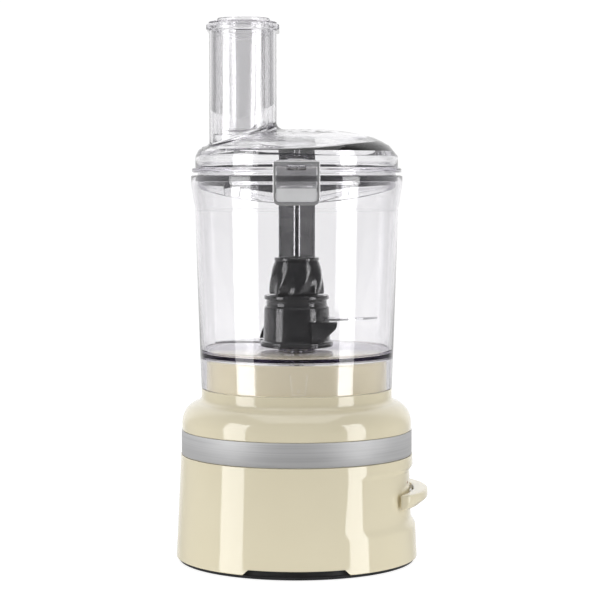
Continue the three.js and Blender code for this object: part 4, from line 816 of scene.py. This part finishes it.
lid_loops += [lid_ring(84.6, 319.6), lid_ring(85.2, 319.0), lid_ring(85.2, 316.7), lid_ring(84.7, 316.1)]
lid_loops += [lid_ring(SKIRT_RADIUS, 316.1), lid_ring(SKIRT_RADIUS, 313.8), lid_ring(79.4, 313.6),
              lid_ring(79.4, 308.6)]
lid_loops += [lid_ring(SKIRT_RADIUS, 308.4), lid_ring(SKIRT_RADIUS, 306.5), skirt_loop(0, 0.8),
              skirt_loop(0.6, 0.0), skirt_loop(1.4, 0.0)]
lid_loops += [skirt_loop(2.0, 0.8), lid_ring(77.6, 306.5), lid_ring(77.4, 318.0), lid_ring(79.9, 321.0),
              lid_ring(80.0, 327.0)]
lid_loops += [over_dome(1 - share / 10, -WALL, 78.6, WALL) for share in range(0, 11)]
lid_loops += [oval_loop(-WALL, 360.0), oval_loop(-WALL, 400.0)]
lid_mesh = close_loft(loft(lid_loops + [lid_loops[0]]), False)
put(new_object("clear_lid", lid_mesh, 32), "lid", lid_plastic, "clear_plastic", "lid")

# ---- Hinge arm and latch knuckle ----
# Both are moulded with the lid: the arm turns on the pin in the handle, and the knuckle carries the latch's
# pin. Each is bored across for its pin.
arm_outline = [(82.3, 321.9, 0.6), (93.6, 321.9, 2), (101.5, 324.0, 5), (103.4, 331.0, 5),
               (98.0, 336.5, 5), (82.3, 334.0, 1)]
hinge_arm = new_object("lid_hinge_arm", plate("X", arm_outline, -9.4, 9.4, 0.3), 35)
cut_away(hinge_arm, block((-12, 94.3, 327.4), (12, 99.7, 332.8), 1.3))
put(hinge_arm, "lid", lid_plastic, "clear_plastic")
knuckle = plate("X", [(-91.9, 321.4, 1), (-82.3, 320.4, 0.4), (-82.3, 326.6, 0.4), (-89.5, 324.9, 1.2)],
                -6.9, 6.9, 0.4)
knuckle_piece = new_object("lid_latch_knuckle", knuckle, 35)
cut_away(knuckle_piece, block((-9, -92.1, 321.3), (9, -89.7, 323.7), 0.5))
put(knuckle_piece, "lid", lid_plastic, "clear_plastic")

# ---- Lid seal ----
# A dark rubber ring in the groove of the skirt; its two lips press against the inside of the bowl's lip.
seal_rubber, tree, shader, where = new_material("seal_rubber_dark")
tint(tree, mapped_noise(tree, where, (1, 1, 1), 80.0), shader, (0.026, 0.026, 0.030), (0.042, 0.042, 0.048))
shader.inputs["Roughness"].default_value = 0.5
roughen(tree, mapped_noise(tree, where, (1, 1, 1), 500.0), shader, 0.00005, 0.4)
seal_outline = [(79.7, 308.9, 0.4), (82.9, 308.9, 0.7), (82.2, 311.1, 1.0), (82.9, 313.3, 0.7),
                (79.7, 313.3, 0.4)]
put(new_object("seal_ring", turned(rounded(seal_outline, 4), 192)), "lid", seal_rubber, "seal_rubber",
    "lid_seal")

# ---- Latch hoop ----
# A polished, chromed hoop with rounded lower corners. It swings on the lid's knuckle and snaps over the
# catch on the bowl.
chrome, tree, shader, where = new_material("polished_chrome")
shader.inputs["Metallic"].default_value = 0.7
film = mapped_noise(tree, where, (1, 1, 1), 120.0)
tint(tree, film, shader, (0.80, 0.80, 0.81), (0.88, 0.88, 0.89))
vary(tree, film, shader.inputs["Roughness"], 0.14, 0.24)
frame_low, frame_high = (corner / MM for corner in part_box("latch_frame"))
HOOP_BAR = 2.3
hoop_outline = [
    (frame_low.x, frame_low.z, 6), (frame_high.x, frame_low.z, 6), (frame_high.x, frame_high.z, 2.5),
    (frame_low.x, frame_high.z, 2.5),
]
hoop = new_object("latch_hoop", plate("Y", hoop_outline, frame_low.y, frame_high.y, 0.7), 35)
eye = [
    (frame_low.x + HOOP_BAR, frame_low.z + HOOP_BAR, 4),
    (frame_high.x - HOOP_BAR, frame_low.z + HOOP_BAR, 4),
    (frame_high.x - HOOP_BAR, frame_high.z - HOOP_BAR, 1.5),
    (frame_low.x + HOOP_BAR, frame_high.z - HOOP_BAR, 1.5),
]
cut_away(hoop, plate("Y", eye, frame_low.y - 5, frame_high.y + 5, 0.3))
put(hoop, "latch", chrome, "latch_chrome", "latch_frame")

# ---- Latch plate, window and pin ----
# Inside the hoop: a satin grey press plate below, a frosted clear window above it, and the thin steel pin
# that hangs the latch on the lid.
satin, tree, shader, where = new_material("satin_grey_plastic")
tint(tree, mapped_noise(tree, where, (1, 1, 1), 70.0), shader, (0.72, 0.72, 0.73), (0.78, 0.78, 0.79))
vary(tree, mapped_noise(tree, where, (1, 1, 1), 300.0), shader.inputs["Roughness"], 0.3, 0.42)
plate_low, plate_high = (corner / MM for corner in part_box("latch_plate"))
press_outline = [
    (plate_low.x, plate_low.z, 3.6), (plate_high.x, plate_low.z, 3.6), (plate_high.x, plate_high.z, 0.5),
    (plate_low.x, plate_high.z, 0.5),
]
press = new_object("latch_press_plate", plate("Y", press_outline, plate_low.y, plate_high.y, 0.5), 35)
put(press, "latch", satin, "satin_grey", "latch_plate")
frosted_plastic = clear_plastic("frosted_window_plastic", (0.80, 0.80, 0.82, 1), 20.0, 0.25)
window_low, window_high = (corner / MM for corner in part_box("latch_window"))
window_outline = [
    (window_low.x, window_low.z, 0.5), (window_high.x, window_low.z, 0.5),
    (window_high.x, window_high.z, 1.5),
    (window_low.x, window_high.z, 1.5),
]
window = new_object("latch_clear_window", plate("Y", window_outline, window_low.y, window_high.y, 0.5), 35)
cut_away(window, block((-7.3, -100, 317.5), (7.3, -80, 330), 0.8))
put(window, "latch", frosted_plastic, "clear_plastic", "latch_window")
dress(steel, "latch_pin")

# ---- Food pusher ----
# An open-bottomed oval box of clear plastic that fills the feed tube, with a flat rim on top and a round
# sleeve in the middle for the small pusher.
pusher_plastic = clear_plastic("clear_pusher_plastic", (0.80, 0.79, 0.81, 1), 60.0, 0.01)
pusher_low, pusher_high = (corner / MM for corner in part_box("food_pusher"))
DECK_TOP, DECK_LOW, FOOT, SLEEVE_BORE = pusher_high.z, pusher_high.z - 1.3, pusher_low.z, 18.5


def sleeve_loop(radius, height):
    """A level loop round the tube's middle."""
    return [(TUBE_X + radius * math.cos(turn), radius * math.sin(turn), height) for turn in TURNS]


pusher_loops = [sleeve_loop(SLEEVE_BORE, DECK_TOP - 0.4), sleeve_loop(SLEEVE_BORE + 0.4, DECK_TOP),
                oval_loop(0.0, DECK_TOP)]
pusher_loops += [oval_loop(0.4, DECK_TOP - 0.3), oval_loop(0.4, DECK_LOW + 0.2), oval_loop(0.1, DECK_LOW)]
pusher_loops += [oval_loop(-2.9, DECK_LOW), oval_loop(-2.9, 400.0), oval_loop(-2.9, FOOT + 0.8),
                 oval_loop(-3.5, FOOT)]
pusher_loops += [oval_loop(-4.3, FOOT), oval_loop(-4.9, FOOT + 0.8), oval_loop(-4.9, 400.0),
                 oval_loop(-4.9, DECK_LOW - 1.2)]
pusher_loops += [sleeve_loop(SLEEVE_BORE + 2.0, DECK_LOW - 1.2), sleeve_loop(SLEEVE_BORE + 2.0, FOOT + 0.6)]
pusher_loops += [sleeve_loop(SLEEVE_BORE + 1.4, FOOT), sleeve_loop(SLEEVE_BORE + 0.6, FOOT),
                 sleeve_loop(SLEEVE_BORE, FOOT + 0.6)]
pusher_mesh = close_loft(loft(pusher_loops + [pusher_loops[0]]), False)
put(new_object("clear_food_pusher", pusher_mesh, 32), "food_pusher", pusher_plastic, "clear_plastic",
    "food_pusher")

# ---- Small pusher ----
# A tapering clear cup with a rolled rim; it drops into the food pusher's sleeve and doubles as a measure.
cup_low, cup_high = (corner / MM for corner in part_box("small_pusher"))
rim_out, rim_top, foot = (cup_high.x - cup_low.x) / 2, cup_high.z, cup_low.z
cup_outline = [
    (0, foot, 0), (15.5, foot, 1.5), (18.0, rim_top - 4.0, 0.4), (rim_out, rim_top - 4.0, 1.0),
    (rim_out, rim_top, 1.2),
    (16.4, rim_top, 1.0), (16.1, rim_top - 5, 2), (13.7, foot + 1.8, 1.5), (0, foot + 1.8, 0),
]
cup = turned(rounded(cup_outline, 5), 96)
bmesh.ops.translate(cup, vec=(TUBE_X * MM, 0, 0), verts=cup.verts)
put(new_object("clear_small_pusher", cup, 50), "small_pusher", pusher_plastic, "clear_plastic",
    "small_pusher")

# ---- Mains inlet ----
# A black plastic socket for the supply lead, pressed into the back of the housing. Its shape stays as it is.
dress(black, "mains_inlet")

# ---- Chassis, bearings and fixings ----
# A pressed steel deck on four posts carries the motor; sintered bearings and pan-head screws.
pressed_steel, tree, shader, where = new_material("plated_steel_sheet")
shader.inputs["Metallic"].default_value = 1.0
plating = mapped_noise(tree, where, (1, 1, 1), 35.0, 6.0)
tint(tree, plating, shader, (0.42, 0.42, 0.40), (0.56, 0.56, 0.54))
vary(tree, plating, shader.inputs["Roughness"], 0.32, 0.5)
dress(pressed_steel, "motor_chassis", "lower_bearing", "upper_bearing")
dress(steel, *[f"chassis_screw_{number}" for number in range(1, 5)])

# ---- Motor ----
# Varnished laminations, lacquered copper windings and rotor, and a ground shaft with a black fan.
laminations, tree, shader, where = new_material("motor_laminations")
shader.inputs["Metallic"].default_value = 0.8
sheets = mapped_noise(tree, where, (4, 4, 900), 1.0, 4.0)
tint(tree, sheets, shader, (0.16, 0.16, 0.17), (0.34, 0.34, 0.35))
vary(tree, sheets, shader.inputs["Roughness"], 0.4, 0.6)
roughen(tree, sheets, shader, 0.0002, 0.6)
dress(laminations, "motor_stator", "motor_rotor")
copper, tree, shader, where = new_material("lacquered_copper")
shader.inputs["Metallic"].default_value = 0.9
wires = mapped_noise(tree, where, (60, 60, 900), 1.0, 3.0)
tint(tree, wires, shader, (0.45, 0.17, 0.07), (0.72, 0.32, 0.15))
vary(tree, wires, shader.inputs["Roughness"], 0.25, 0.4)
roughen(tree, wires, shader, 0.0003, 0.7)
dress(copper, "motor_windings")
dress(steel, "motor_shaft", "drive_spindle")
dress(black, "cooling_fan", "motor_pulley", "spindle_pulley", "speed_switch", "interlock_switch")

# ---- Belt and board ----
# A ribbed rubber belt from the motor's small pulley to the spindle's large one, and the board that sets
# the motor's speed.
dress(rubber, "drive_belt")
board_green, tree, shader, where = new_material("circuit_board")
tint(tree, mapped_noise(tree, where, (1, 1, 1), 120.0), shader, (0.010, 0.075, 0.030),
     (0.020, 0.120, 0.050))
vary(tree, mapped_noise(tree, where, (1, 1, 1), 400.0), shader.inputs["Roughness"], 0.25, 0.45)
dress(board_green, "control_board")
